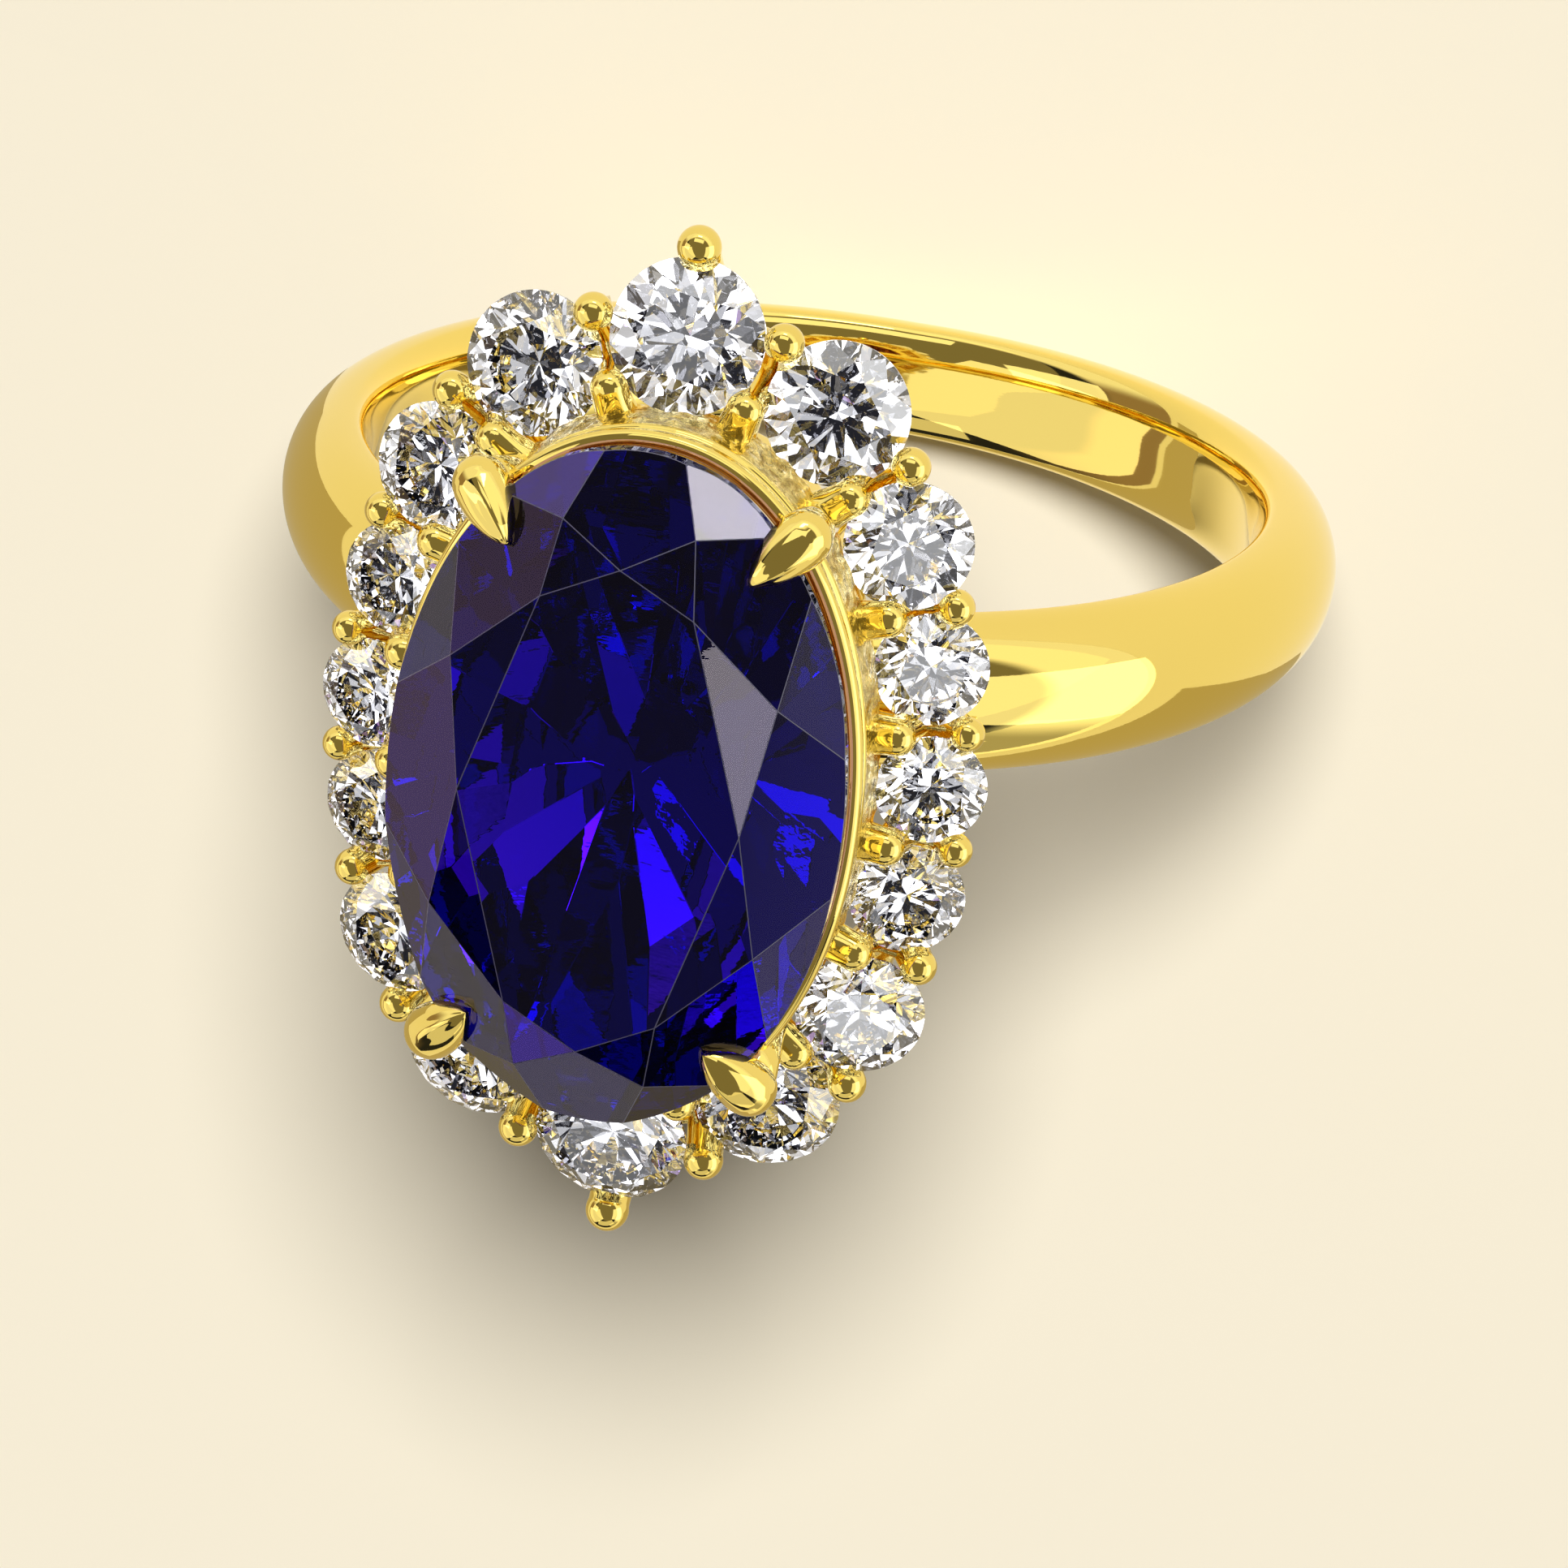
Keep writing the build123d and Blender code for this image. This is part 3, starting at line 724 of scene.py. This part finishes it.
def make_prongs():
    seats = make_seats()
    outer = round_the_oval(OUTER_BEADS) + round_the_oval([TIP_BEAD])
    for i, bead in enumerate(outer):
        node = f"outer_prong_{i + 1:02d}"
        points, faces = prong_form(bead, OUTER_FOOT_SHARE)
        obj = make_piece(f"{node}_gold", points, faces, POLISHED, [node])
        carve(obj, Vector(bead[:2]), seats)
    for i, bead in enumerate(round_the_oval(INNER_BEADS)):
        node = f"inner_prong_{i + 1:02d}"
        points, faces = inner_prong_form(bead)
        obj = make_piece(f"{node}_gold", points, faces, POLISHED, [node])
        carve(obj, Vector(bead[:2]), seats)
    for _, _, seat in seats:
        bpy.data.objects.remove(seat)


# ---------------------------------------------------------------- claws

CLAW_BALL = (2.86, 5.12, 0.02)
CLAW_TIP = (2.13, 4.35, 0.74)
CLAW_FOOT = (2.45, 4.25, -3.6)
CLAW_BALL_RADIUS = 0.50
CLAW_LEAF_POWER = 2.5
CLAW_TIP_POWER = 0.85
CLAW_KEEL = 0.16
CLAW_KEEL_HOLLOW = 0.06
CLAW_KEEL_TURN = 0.35
CLAW_KEEL_SPREAD = 0.22
KEEL_BASE = 2.718


def claw_form(sign_x, sign_y):
    flip = Vector((sign_x, sign_y, 1))
    back = head_point(*CLAW_BALL) * flip
    tip = head_point(*CLAW_TIP) * flip
    foot = head_point(*CLAW_FOOT) * flip
    axis = (tip - back).normalized()
    length = (tip - back).length
    profile = [(-CLAW_BALL_RADIUS, 0.01)]
    for i in range(1, 13):
        a = -pi / 2 + pi / 2 * i / 12
        profile.append((CLAW_BALL_RADIUS * sin(a), CLAW_BALL_RADIUS * cos(a)))
    for i in range(1, 25):
        share = i / 24
        leaf_radius = CLAW_BALL_RADIUS * (1 - share**CLAW_LEAF_POWER) ** CLAW_TIP_POWER
        profile.append((length * share, leaf_radius + 0.012))
    side, up = across_axis(axis)
    top_angle = atan2(up.z, side.z)

    def ridge(angle, along):
        """A soft keel along the top of the leaf, a little to one side, that firms up towards the tip."""
        firm = min(1.0, max(0.0, along / (length * 0.6)))
        turn = (angle - top_angle + CLAW_KEEL_TURN + pi) % (2 * pi) - pi
        keel = CLAW_KEEL * KEEL_BASE ** (-((turn / CLAW_KEEL_SPREAD) ** 2))
        return 1 + firm * (keel - CLAW_KEEL_HOLLOW)

    leaf = lathe(back, axis, profile, 64, ridge)
    down = (foot - back).normalized()
    stem_profile = [(0, 0.44), (1.2, 0.42), ((foot - back).length, 0.36)]
    stem = lathe(back, down, stem_profile, 40)
    return join_parts([leaf, stem])


def make_claws():
    for i, (sign_x, sign_y) in enumerate(QUARTERS):
        node = f"claw_{i + 1:02d}"
        points, faces = claw_form(sign_x, sign_y)
        make_piece(f"{node}_gold", points, faces, POLISHED, [node])


# ---------------------------------------------------------------- collet, rail and gallery

def rounded_profile(corners, radius, steps=5):
    """A closed profile with its corners rounded by quadratic arcs."""
    profile = []
    for k, corner in enumerate(corners):
        here = Vector(corner)
        before = Vector(corners[k - 1])
        after = Vector(corners[(k + 1) % len(corners)])
        into = here + (before - here).normalized() * min(radius, (before - here).length * 0.45)
        out = here + (after - here).normalized() * min(radius, (after - here).length * 0.45)
        for i in range(steps + 1):
            t = i / steps
            p = into * (1 - t) ** 2 + here * 2 * t * (1 - t) + out * t**2
            profile.append((p.x, p.y))
    return profile


RIM_OFFSET = -0.03
RIM_RADIUS = 0.17
RIM_HEIGHT = -0.62
RIM_BEAD_BREADTH = 0.09
RIM_BEAD_HEIGHT = -1.10
WALL_TOP = -1.26
WALL_FOOT = -2.20
COLLET_FOOT = -4.40


def collet_profile():
    """Offset from the stone's outline and height: a rolled rim, the cast wall and the hollow inside."""
    roll = np.linspace(pi, -0.30 * pi, 20)
    rim = [(RIM_OFFSET + RIM_RADIUS * cos(a), RIM_HEIGHT + RIM_RADIUS * sin(a)) for a in roll]
    rim += [(0.03, -0.90), (0.01, -0.95)]
    bead = np.linspace(0.40 * pi, -0.35 * pi, 10)
    rim += [(RIM_BEAD_BREADTH * cos(a), RIM_BEAD_HEIGHT + 0.11 * sin(a)) for a in bead]
    wall_height = WALL_TOP - WALL_FOOT
    wall = [(0.04 + 0.04 * t, WALL_TOP - wall_height * t) for t in np.linspace(0, 1, 20)]
    funnel_height = WALL_FOOT - COLLET_FOOT
    wall += [(0.08 - 1.1 * t, WALL_FOOT - funnel_height * t) for t in np.linspace(0.08, 1, 14)]
    inside = [(-1.5, COLLET_FOOT), (-1.1, -3.0), (-0.75, -2.0), (-0.45, -1.2), (-0.26, -0.75)]
    return rim + wall + inside, len(rim), len(rim) + len(wall)


def make_collet():
    profile, first, last = collet_profile()

    def cast_skin(p, outward, k):
        if not first <= k < last:
            return p
        ribs = noise.noise(Vector((p.x * 3.2, p.y * 3.2, p.z * 0.7))) * 0.05
        lumps = noise.fractal(p * 4.5, 0.9, 2.1, 3) * 0.030
        return p + outward * (ribs + lumps) * min(1.0, (k - first) / 3)

    points, faces = oval_band(OVAL_HALF_WIDTH, OVAL_HALF_LENGTH, OVAL_POWER, profile, 600, cast_skin)
    obj = make_piece("collet_gold", points, faces, POLISHED, ["collet"])
    obj.data.materials.append(CAST)
    columns = len(profile)
    for polygon in obj.data.polygons:
        k = min(v % columns for v in polygon.vertices)
        polygon.material_index = 1 if first <= k < last else 0


RAIL_BOTTOM = -3.95
RAIL_TOP = -3.05
RAIL_HALF_BREADTH = 0.36
RAIL_INSET = 0.33
WEB_BOTTOM = -3.3
WEB_SHOULDER = -2.68
WEB_TOP = -2.62
WEB_BREADTH = 0.12
WEB_EDGE_BREADTH = 0.07
WEB_LIFT = 0.10
WEB_ROWS = 6


def seat_clear(p, places):
    """Lowers a point of the rail that would stand inside a stone's pavilion."""
    slope = tan(radians(PAVILION_ANGLE)) * SEAT_SLOPE
    for place, inverse, radius in places:
        q = inverse @ p
        reach = hypot(q.x, q.y)
        if reach < 1:
            allowed = -BRILLIANT_GIRDLE / 2 - slope * (1 - reach) - 0.02 / radius
            if q.z > allowed:
                q.z = allowed
                p = place @ q
    return p


def make_rail():
    places = []
    for stone in round_the_oval(HALO_STONES):
        place = stone_place(*stone)
        places.append((place, place.inverted(), stone[3] / 2))
    corners = [
        (-RAIL_HALF_BREADTH, RAIL_BOTTOM),
        (-RAIL_HALF_BREADTH, RAIL_TOP),
        (RAIL_HALF_BREADTH, RAIL_TOP),
        (RAIL_HALF_BREADTH, RAIL_BOTTOM),
    ]
    profile = rounded_profile(corners, 0.16)
    top_edge = [k for k, (_, z) in enumerate(profile) if z > RAIL_TOP - 1e-6]
    lower = max(k for k in top_edge if profile[k][0] < 0)
    upper = min(k for k in top_edge if profile[k][0] > 0)
    filling = [(x, RAIL_TOP) for x in np.linspace(profile[lower][0], profile[upper][0], 12)[1:-1]]
    profile = profile[: lower + 1] + filling + profile[upper:]

    def shape(p, outward, k):
        return seat_clear(p, places)

    half_width, half_length = HALO_HALF_WIDTH - RAIL_INSET, HALO_HALF_LENGTH - RAIL_INSET
    rail = oval_band(half_width, half_length, HALO_POWER, profile, 720, shape)
    bead_pairs = zip(round_the_oval(INNER_BEADS), round_the_oval(OUTER_BEADS))
    webs = [web_form(inner, outer) for inner, outer in bead_pairs]
    points, faces = join_parts([rail] + webs)
    make_piece("halo_rail_gold", points, faces, CAST, ["halo_rail"])


def web_form(inner, outer):
    """The thin strip between two stones, from the inner bead to the outer one."""
    start = head_point(inner[0], inner[1], 0)
    end = head_point(outer[0], outer[1], 0)
    run = (end - start).normalized()
    side = Vector((-run.y, run.x, 0))
    half, edge = WEB_BREADTH / 2, WEB_EDGE_BREADTH / 2
    section = [
        (-half, WEB_BOTTOM),
        (-half, WEB_SHOULDER),
        (-edge, WEB_TOP),
        (edge, WEB_TOP),
        (half, WEB_SHOULDER),
        (half, WEB_BOTTOM),
    ]
    points = []
    for i in range(WEB_ROWS):
        share = i / (WEB_ROWS - 1)
        along = start.lerp(end, share)
        lift = WEB_LIFT * (1 - share)
        points += [along + side * across + Vector((0, 0, height + lift)) for across, height in section]
    corners = len(section)
    faces = grid_faces(WEB_ROWS, corners, False, True)
    faces.append(tuple(reversed(range(corners))))
    faces.append(tuple(range((WEB_ROWS - 1) * corners, WEB_ROWS * corners)))
    return points, faces


BASE_HALF_WIDTH = 3.25
BASE_HALF_LENGTH = 4.95
BASE_BREADTH = 0.65
BASE_BOTTOM = -5.73
BASE_TOP = -4.40
STRUT_WEBS = (1, 3)
STRUT_RADIUS = 0.32
STRUT_SHARE = 0.2
STRUT_FOOT_HEIGHT = -4.85
STRUT_TOP_HEIGHT = -3.7
BASE_ROUNDING = 0.2
BASE_STEPS = 360


def make_base():
    half = BASE_BREADTH / 2
    corners = [(-half, BASE_BOTTOM), (-half, BASE_TOP), (half, BASE_TOP), (half, BASE_BOTTOM)]
    profile = rounded_profile(corners, BASE_ROUNDING)
    ring = oval_band(BASE_HALF_WIDTH - half, BASE_HALF_LENGTH - half, OVAL_POWER, profile, BASE_STEPS)
    struts = []
    inner = round_the_oval([INNER_BEADS[i] for i in STRUT_WEBS])
    outer = round_the_oval([OUTER_BEADS[i] for i in STRUT_WEBS])
    for a, b in zip(inner, outer):
        mid_x, mid_y = a[0] + (b[0] - a[0]) * STRUT_SHARE, a[1] + (b[1] - a[1]) * STRUT_SHARE
        foot_x = mid_x * BASE_HALF_WIDTH / HALO_HALF_WIDTH
        foot_y = mid_y * BASE_HALF_LENGTH / HALO_HALF_LENGTH
        foot = head_point(foot_x, foot_y, STRUT_FOOT_HEIGHT)
        top = head_point(mid_x, mid_y, STRUT_TOP_HEIGHT)
        run = top - foot
        rod = [(run.length * t, STRUT_RADIUS) for t in np.linspace(0, 1, 6)]
        struts.append(lathe(foot, run.normalized(), rod, 32))
    points, faces = join_parts([ring] + struts)
    make_piece("base_gallery_gold", points, faces, POLISHED, ["base_gallery"])


make_shank()
make_centre_stone()
make_diamonds()
make_prongs()
make_claws()
make_collet()
make_rail()
make_base()


# ---------------------------------------------------------------- camera, floor and light

# The camera's own axes and place, which give the view of the ring from above its head
VIEW_RIGHT = Vector((0.9690, 0.0935, -0.2286))
VIEW_UP = Vector((-0.1689, 0.9263, -0.3368))
VIEW_BACK = Vector((0.1803, 0.3650, 0.9134))
CAMERA_PLACE = Vector((35.08, 65.68, 177.60)) * MM
LENS = 238
SENSOR = 36
TABLE_GLANCE = Vector((-VIEW_BACK.x, -VIEW_BACK.y, VIEW_BACK.z))  # what the stone's flat table mirrors


def make_camera():
    data = bpy.data.cameras.new("camera")
    data.lens = LENS
    data.sensor_width = SENSOR
    data.clip_start = 0.01
    data.clip_end = 10
    camera = bpy.data.objects.new("camera", data)
    bpy.context.scene.collection.objects.link(camera)
    turn = Matrix((VIEW_RIGHT, VIEW_UP, VIEW_BACK)).transposed().to_4x4()
    camera.matrix_world = Matrix.Translation(CAMERA_PLACE) @ turn
    bpy.context.scene.camera = camera


FLOOR_HALF_WIDTH = 1.5
BACKDROP_RADIUS = 1.3
# Where the painted reflection sheet lies: it glows sand colour and shows only in reflections.
PAINTED_REFLECTION_LIFT = 0.05  # above the floor, in millimetres as its corners are
PAINTED_REFLECTION_CORNERS = (
    (-70, 12),
    (-16, 3),
    (-8, -6),
    (12, -6),
    (18, -9),
    (30, -13),
    (70, -24),
    (70, -90),
    (-70, -90),
)


def glowing(name, colour):
    """A plain material that gives off one colour and reflects nothing."""
    material, nodes, links, shader = new_material(name)
    shader.inputs["Base Color"].default_value = (0, 0, 0, 1)
    shader.inputs["Specular IOR Level"].default_value = 0
    shader.inputs["Emission Color"].default_value = colour
    shader.inputs["Emission Strength"].default_value = 1
    return material


def add_object(name, mesh, material):
    mesh.materials.append(material)
    obj = bpy.data.objects.new(name, mesh)
    bpy.context.scene.collection.objects.link(obj)
    return obj


def make_floor():
    half = FLOOR_HALF_WIDTH
    corners = [(x * half, y * half, cad_low.z) for x, y in ((-1, -1), (1, -1), (1, 1), (-1, 1))]
    mesh = bpy.data.meshes.new("floor")
    mesh.from_pydata(corners, [], [(0, 1, 2, 3)])
    material, nodes, links, shader = new_material("pale_floor")
    shader.inputs["Base Color"].default_value = (0.85, 0.78, 0.62, 1)
    shader.inputs["Roughness"].default_value = 0.9
    floor = add_object("floor", mesh, material)
    return floor


def make_backdrop():
    """A pale dome that only the camera sees, so that low views have a plain background."""
    bm = bmesh.new()
    bmesh.ops.create_uvsphere(bm, u_segments=96, v_segments=48, radius=BACKDROP_RADIUS)
    mesh = bpy.data.meshes.new("backdrop")
    bm.to_mesh(mesh)
    bm.free()
    backdrop = add_object("backdrop", mesh, glowing("pale_backdrop", (0.87, 0.82, 0.69, 1)))
    backdrop.visible_diffuse = False
    backdrop.visible_glossy = False
    backdrop.visible_transmission = False
    backdrop.visible_volume_scatter = False
    backdrop.visible_shadow = False


def make_painted_reflection():
    """A sand-coloured sheet on the floor that glows and is seen only in reflections: a painted reflection
    that darkens the gold's lower half.
    """
    height = cad_low.z + PAINTED_REFLECTION_LIFT * MM
    corners = [(x * MM, y * MM, height) for x, y in PAINTED_REFLECTION_CORNERS]
    mesh = bpy.data.meshes.new("painted_reflection_sheet")
    mesh.from_pydata(corners, [], [tuple(range(len(corners)))])
    # Painted reflection: the sheet's sand-coloured glow stands in for the sand that the gold's lower half
    # mirrors; it is no lamp.
    painted_reflection_sheet = add_object("painted_reflection_sheet", mesh, glowing("painted_sand_reflection", (0.50, 0.41, 0.24, 1)))
    painted_reflection_sheet.visible_camera = False
    painted_reflection_sheet.visible_diffuse = False
    painted_reflection_sheet.visible_shadow = False


def soft_box(name, direction, distance, size, radiance, colour, receivers):
    """A rectangular lamp that faces the head and lights only the receivers."""
    data = bpy.data.lights.new(name, "AREA")
    data.shape = "RECTANGLE"
    data.size, data.size_y = size
    data.energy = radiance * pi * size[0] * size[1]
    data.color = colour
    lamp = bpy.data.objects.new(name, data)
    toward = Vector(direction).normalized()
    lamp.location = Vector((0, 0, GIRDLE_HEIGHT * MM)) + toward * distance
    lamp.rotation_mode = "QUATERNION"
    lamp.rotation_quaternion = toward.to_track_quat("Z", "Y")
    bpy.context.scene.collection.objects.link(lamp)
    lamp.light_linking.receiver_collection = receivers


def floor_sun(direction, strength, spread, receivers):
    """The soft sun that throws the ring's shadow, with its spread in degrees."""
    data = bpy.data.lights.new("floor_sun", "SUN")
    data.energy = strength
    data.angle = radians(spread)
    lamp = bpy.data.objects.new("floor_sun", data)
    lamp.rotation_mode = "QUATERNION"
    lamp.rotation_quaternion = Vector(direction).normalized().to_track_quat("Z", "Y")
    bpy.context.scene.collection.objects.link(lamp)
    lamp.light_linking.receiver_collection = receivers


def group(name, objects):
    """A collection outside the scene that a lamp can be limited to."""
    collection = bpy.data.collections.new(name)
    for obj in objects:
        collection.objects.link(obj)
    return collection


def make_world():
    """A studio by direction: a bright low tent on the +X and +Y sides, dim brown at -X, dark overhead."""
    world = bpy.data.worlds.new("studio")
    bpy.context.scene.world = world
    world.use_nodes = True
    nodes, links = world.node_tree.nodes, world.node_tree.links
    place = nodes.new("ShaderNodeTexCoord")

    def facing(direction, start, end):
        """1 where the ray's share along a direction is past end, 0 before start."""
        dot = nodes.new("ShaderNodeVectorMath")
        dot.operation = "DOT_PRODUCT"
        dot.inputs[1].default_value = direction
        links.new(place.outputs["Generated"], dot.inputs[0])
        band = nodes.new("ShaderNodeMapRange")
        band.interpolation_type = "SMOOTHSTEP"
        for key, value in (("From Min", start), ("From Max", end), ("To Min", 0), ("To Max", 1)):
            band.inputs[key].default_value = value
        links.new(dot.outputs["Value"], band.inputs["Value"])
        return band.outputs["Result"]

    def times(a, b):
        node = nodes.new("ShaderNodeMath")
        node.operation = "MULTIPLY"
        links.new(a, node.inputs[0])
        links.new(b, node.inputs[1])
        return node.outputs["Value"]

    def blend(share, under, over):
        node = nodes.new("ShaderNodeMix")
        node.data_type = "RGBA"
        links.new(share, node.inputs["Factor"])
        for socket, colour in ((node.inputs["A"], under), (node.inputs["B"], over)):
            if isinstance(colour, tuple):
                socket.default_value = colour
            else:
                links.new(colour, socket)
        return node.outputs["Result"]

    low = facing((0, 0, -1), -0.44, -0.34)
    bright_side = facing((0.55, 0.83, 0), -0.30, 0.05)
    brown_side = facing((-1, 0, 0), 0.45, 0.85)
    colour = blend(times(low, brown_side), (0.02, 0.02, 0.025, 1), (0.30, 0.21, 0.14, 1))
    colour = blend(times(low, bright_side), colour, (1.0, 0.97, 0.90, 1))
    links.new(colour, nodes["Background"].inputs["Color"])


TENT_DISTANCE = 0.25
TENT_LOWEST = 0.06
GOLDEN_ANGLE = pi * (3 - sqrt(5))


def make_tent(name, panels, gaps, strengths, size, colour, receivers):
    """Panels all round the upper half, left out where a gap (direction, angle) keeps the tent dark."""
    for i in range(panels):
        height = TENT_LOWEST + (1 - TENT_LOWEST) * (i + 0.5) / panels
        turn = i * GOLDEN_ANGLE
        reach = sqrt(1 - height * height)
        toward = Vector((reach * cos(turn), reach * sin(turn), height))
        strength = DICE.choice(strengths)
        if all(toward.angle(direction) > radians(angle) for direction, angle in gaps):
            soft_box(f"{name}_{i:02d}", toward, TENT_DISTANCE, (size, size), strength, colour, receivers)


make_camera()
FLOOR = make_floor()
make_backdrop()
make_painted_reflection()
make_world()
PIECES = [obj for obj in bpy.context.scene.objects if obj.type == "MESH" and obj.data.materials]
GOLD = group("gold", [obj for obj in PIECES if obj.data.materials[0] in (POLISHED, CAST)])
SAPPHIRE = group("sapphire", [obj for obj in PIECES if obj.data.materials[0] == BLUE])
DIAMONDS = group("diamonds", [obj for obj in PIECES if obj.data.materials[0] == CLEAR])
GROUND = group("ground", [FLOOR])

# Lamps: name, direction from the head, distance, size, radiance and colour
WHITE = (1, 0.98, 0.95)
GOLD_LAMPS = (
    ("top_window", (0.05, 0.97, 0.24), 0.30, (0.09, 0.035), 3.5, WHITE),
    ("high_window", (0.05, 0.80, 0.60), 0.30, (0.26, 0.10), 1.0, WHITE),
    ("left_window", (-0.80, 0.15, 0.55), 0.30, (0.12, 0.16), 1.0, WHITE),
    ("right_window", (0.88, -0.12, 0.34), 0.30, (0.30, 0.28), 0.95, WHITE),
    ("side_fill", (0.60, -0.78, 0.12), 0.30, (0.22, 0.14), 0.42, (1, 0.92, 0.72)),
    ("low_fill", (0.1, -0.85, 0.46), 0.30, (0.34, 0.16), 0.7, (1, 0.93, 0.78)),
    ("left_fill", (-0.70, -0.38, 0.60), 0.30, (0.34, 0.40), 0.9, (1, 0.96, 0.88)),
    ("overhead_haze", VIEW_BACK, 0.40, (1.4, 1.4), 0.19, (1, 0.86, 0.52)),
)
SAPPHIRE_LAMPS = (
    ("facet_key", (0.527, 0.784, 0.328), 0.25, (0.07, 0.06), 17, (0.93, 1, 0.56)),
    ("facet_grey", (0.40, -0.25, 0.90), 0.30, (0.06, 0.06), 6, (1, 1, 0.64)),
    ("left_glow", (-0.93, -0.14, 0.24), 0.25, (0.20, 0.20), 0.7, (1, 0.70, 0.80)),
    ("blue_haze", VIEW_BACK, 0.40, (1.6, 1.6), 0.13, (1, 0.95, 1)),
)
floor_sun((0.18, 0.50, 0.85), 3.6, 16, GROUND)
for lamp in GOLD_LAMPS:
    soft_box(*lamp, GOLD)
for lamp in SAPPHIRE_LAMPS:
    soft_box(*lamp, SAPPHIRE)

DIAMOND_PANELS = 30
DIAMOND_GAPS = [(VIEW_BACK, 18)]
SAPPHIRE_PANELS = 24
SAPPHIRE_GAPS = [(VIEW_BACK, 12), (TABLE_GLANCE, 24)]
make_tent("panel", DIAMOND_PANELS, DIAMOND_GAPS, (0.8, 1.8, 2.7), 0.085, (0.97, 0.98, 1.0), DIAMONDS)
make_tent("blue_panel", SAPPHIRE_PANELS, SAPPHIRE_GAPS, (0.0, 0.25, 2.0), 0.06, (0.55, 0.34, 1), SAPPHIRE)

scene = bpy.context.scene
scene.view_settings.view_transform = "Standard"
scene.cycles.max_bounces = 24
scene.cycles.glossy_bounces = 14
scene.cycles.transmission_bounces = 16
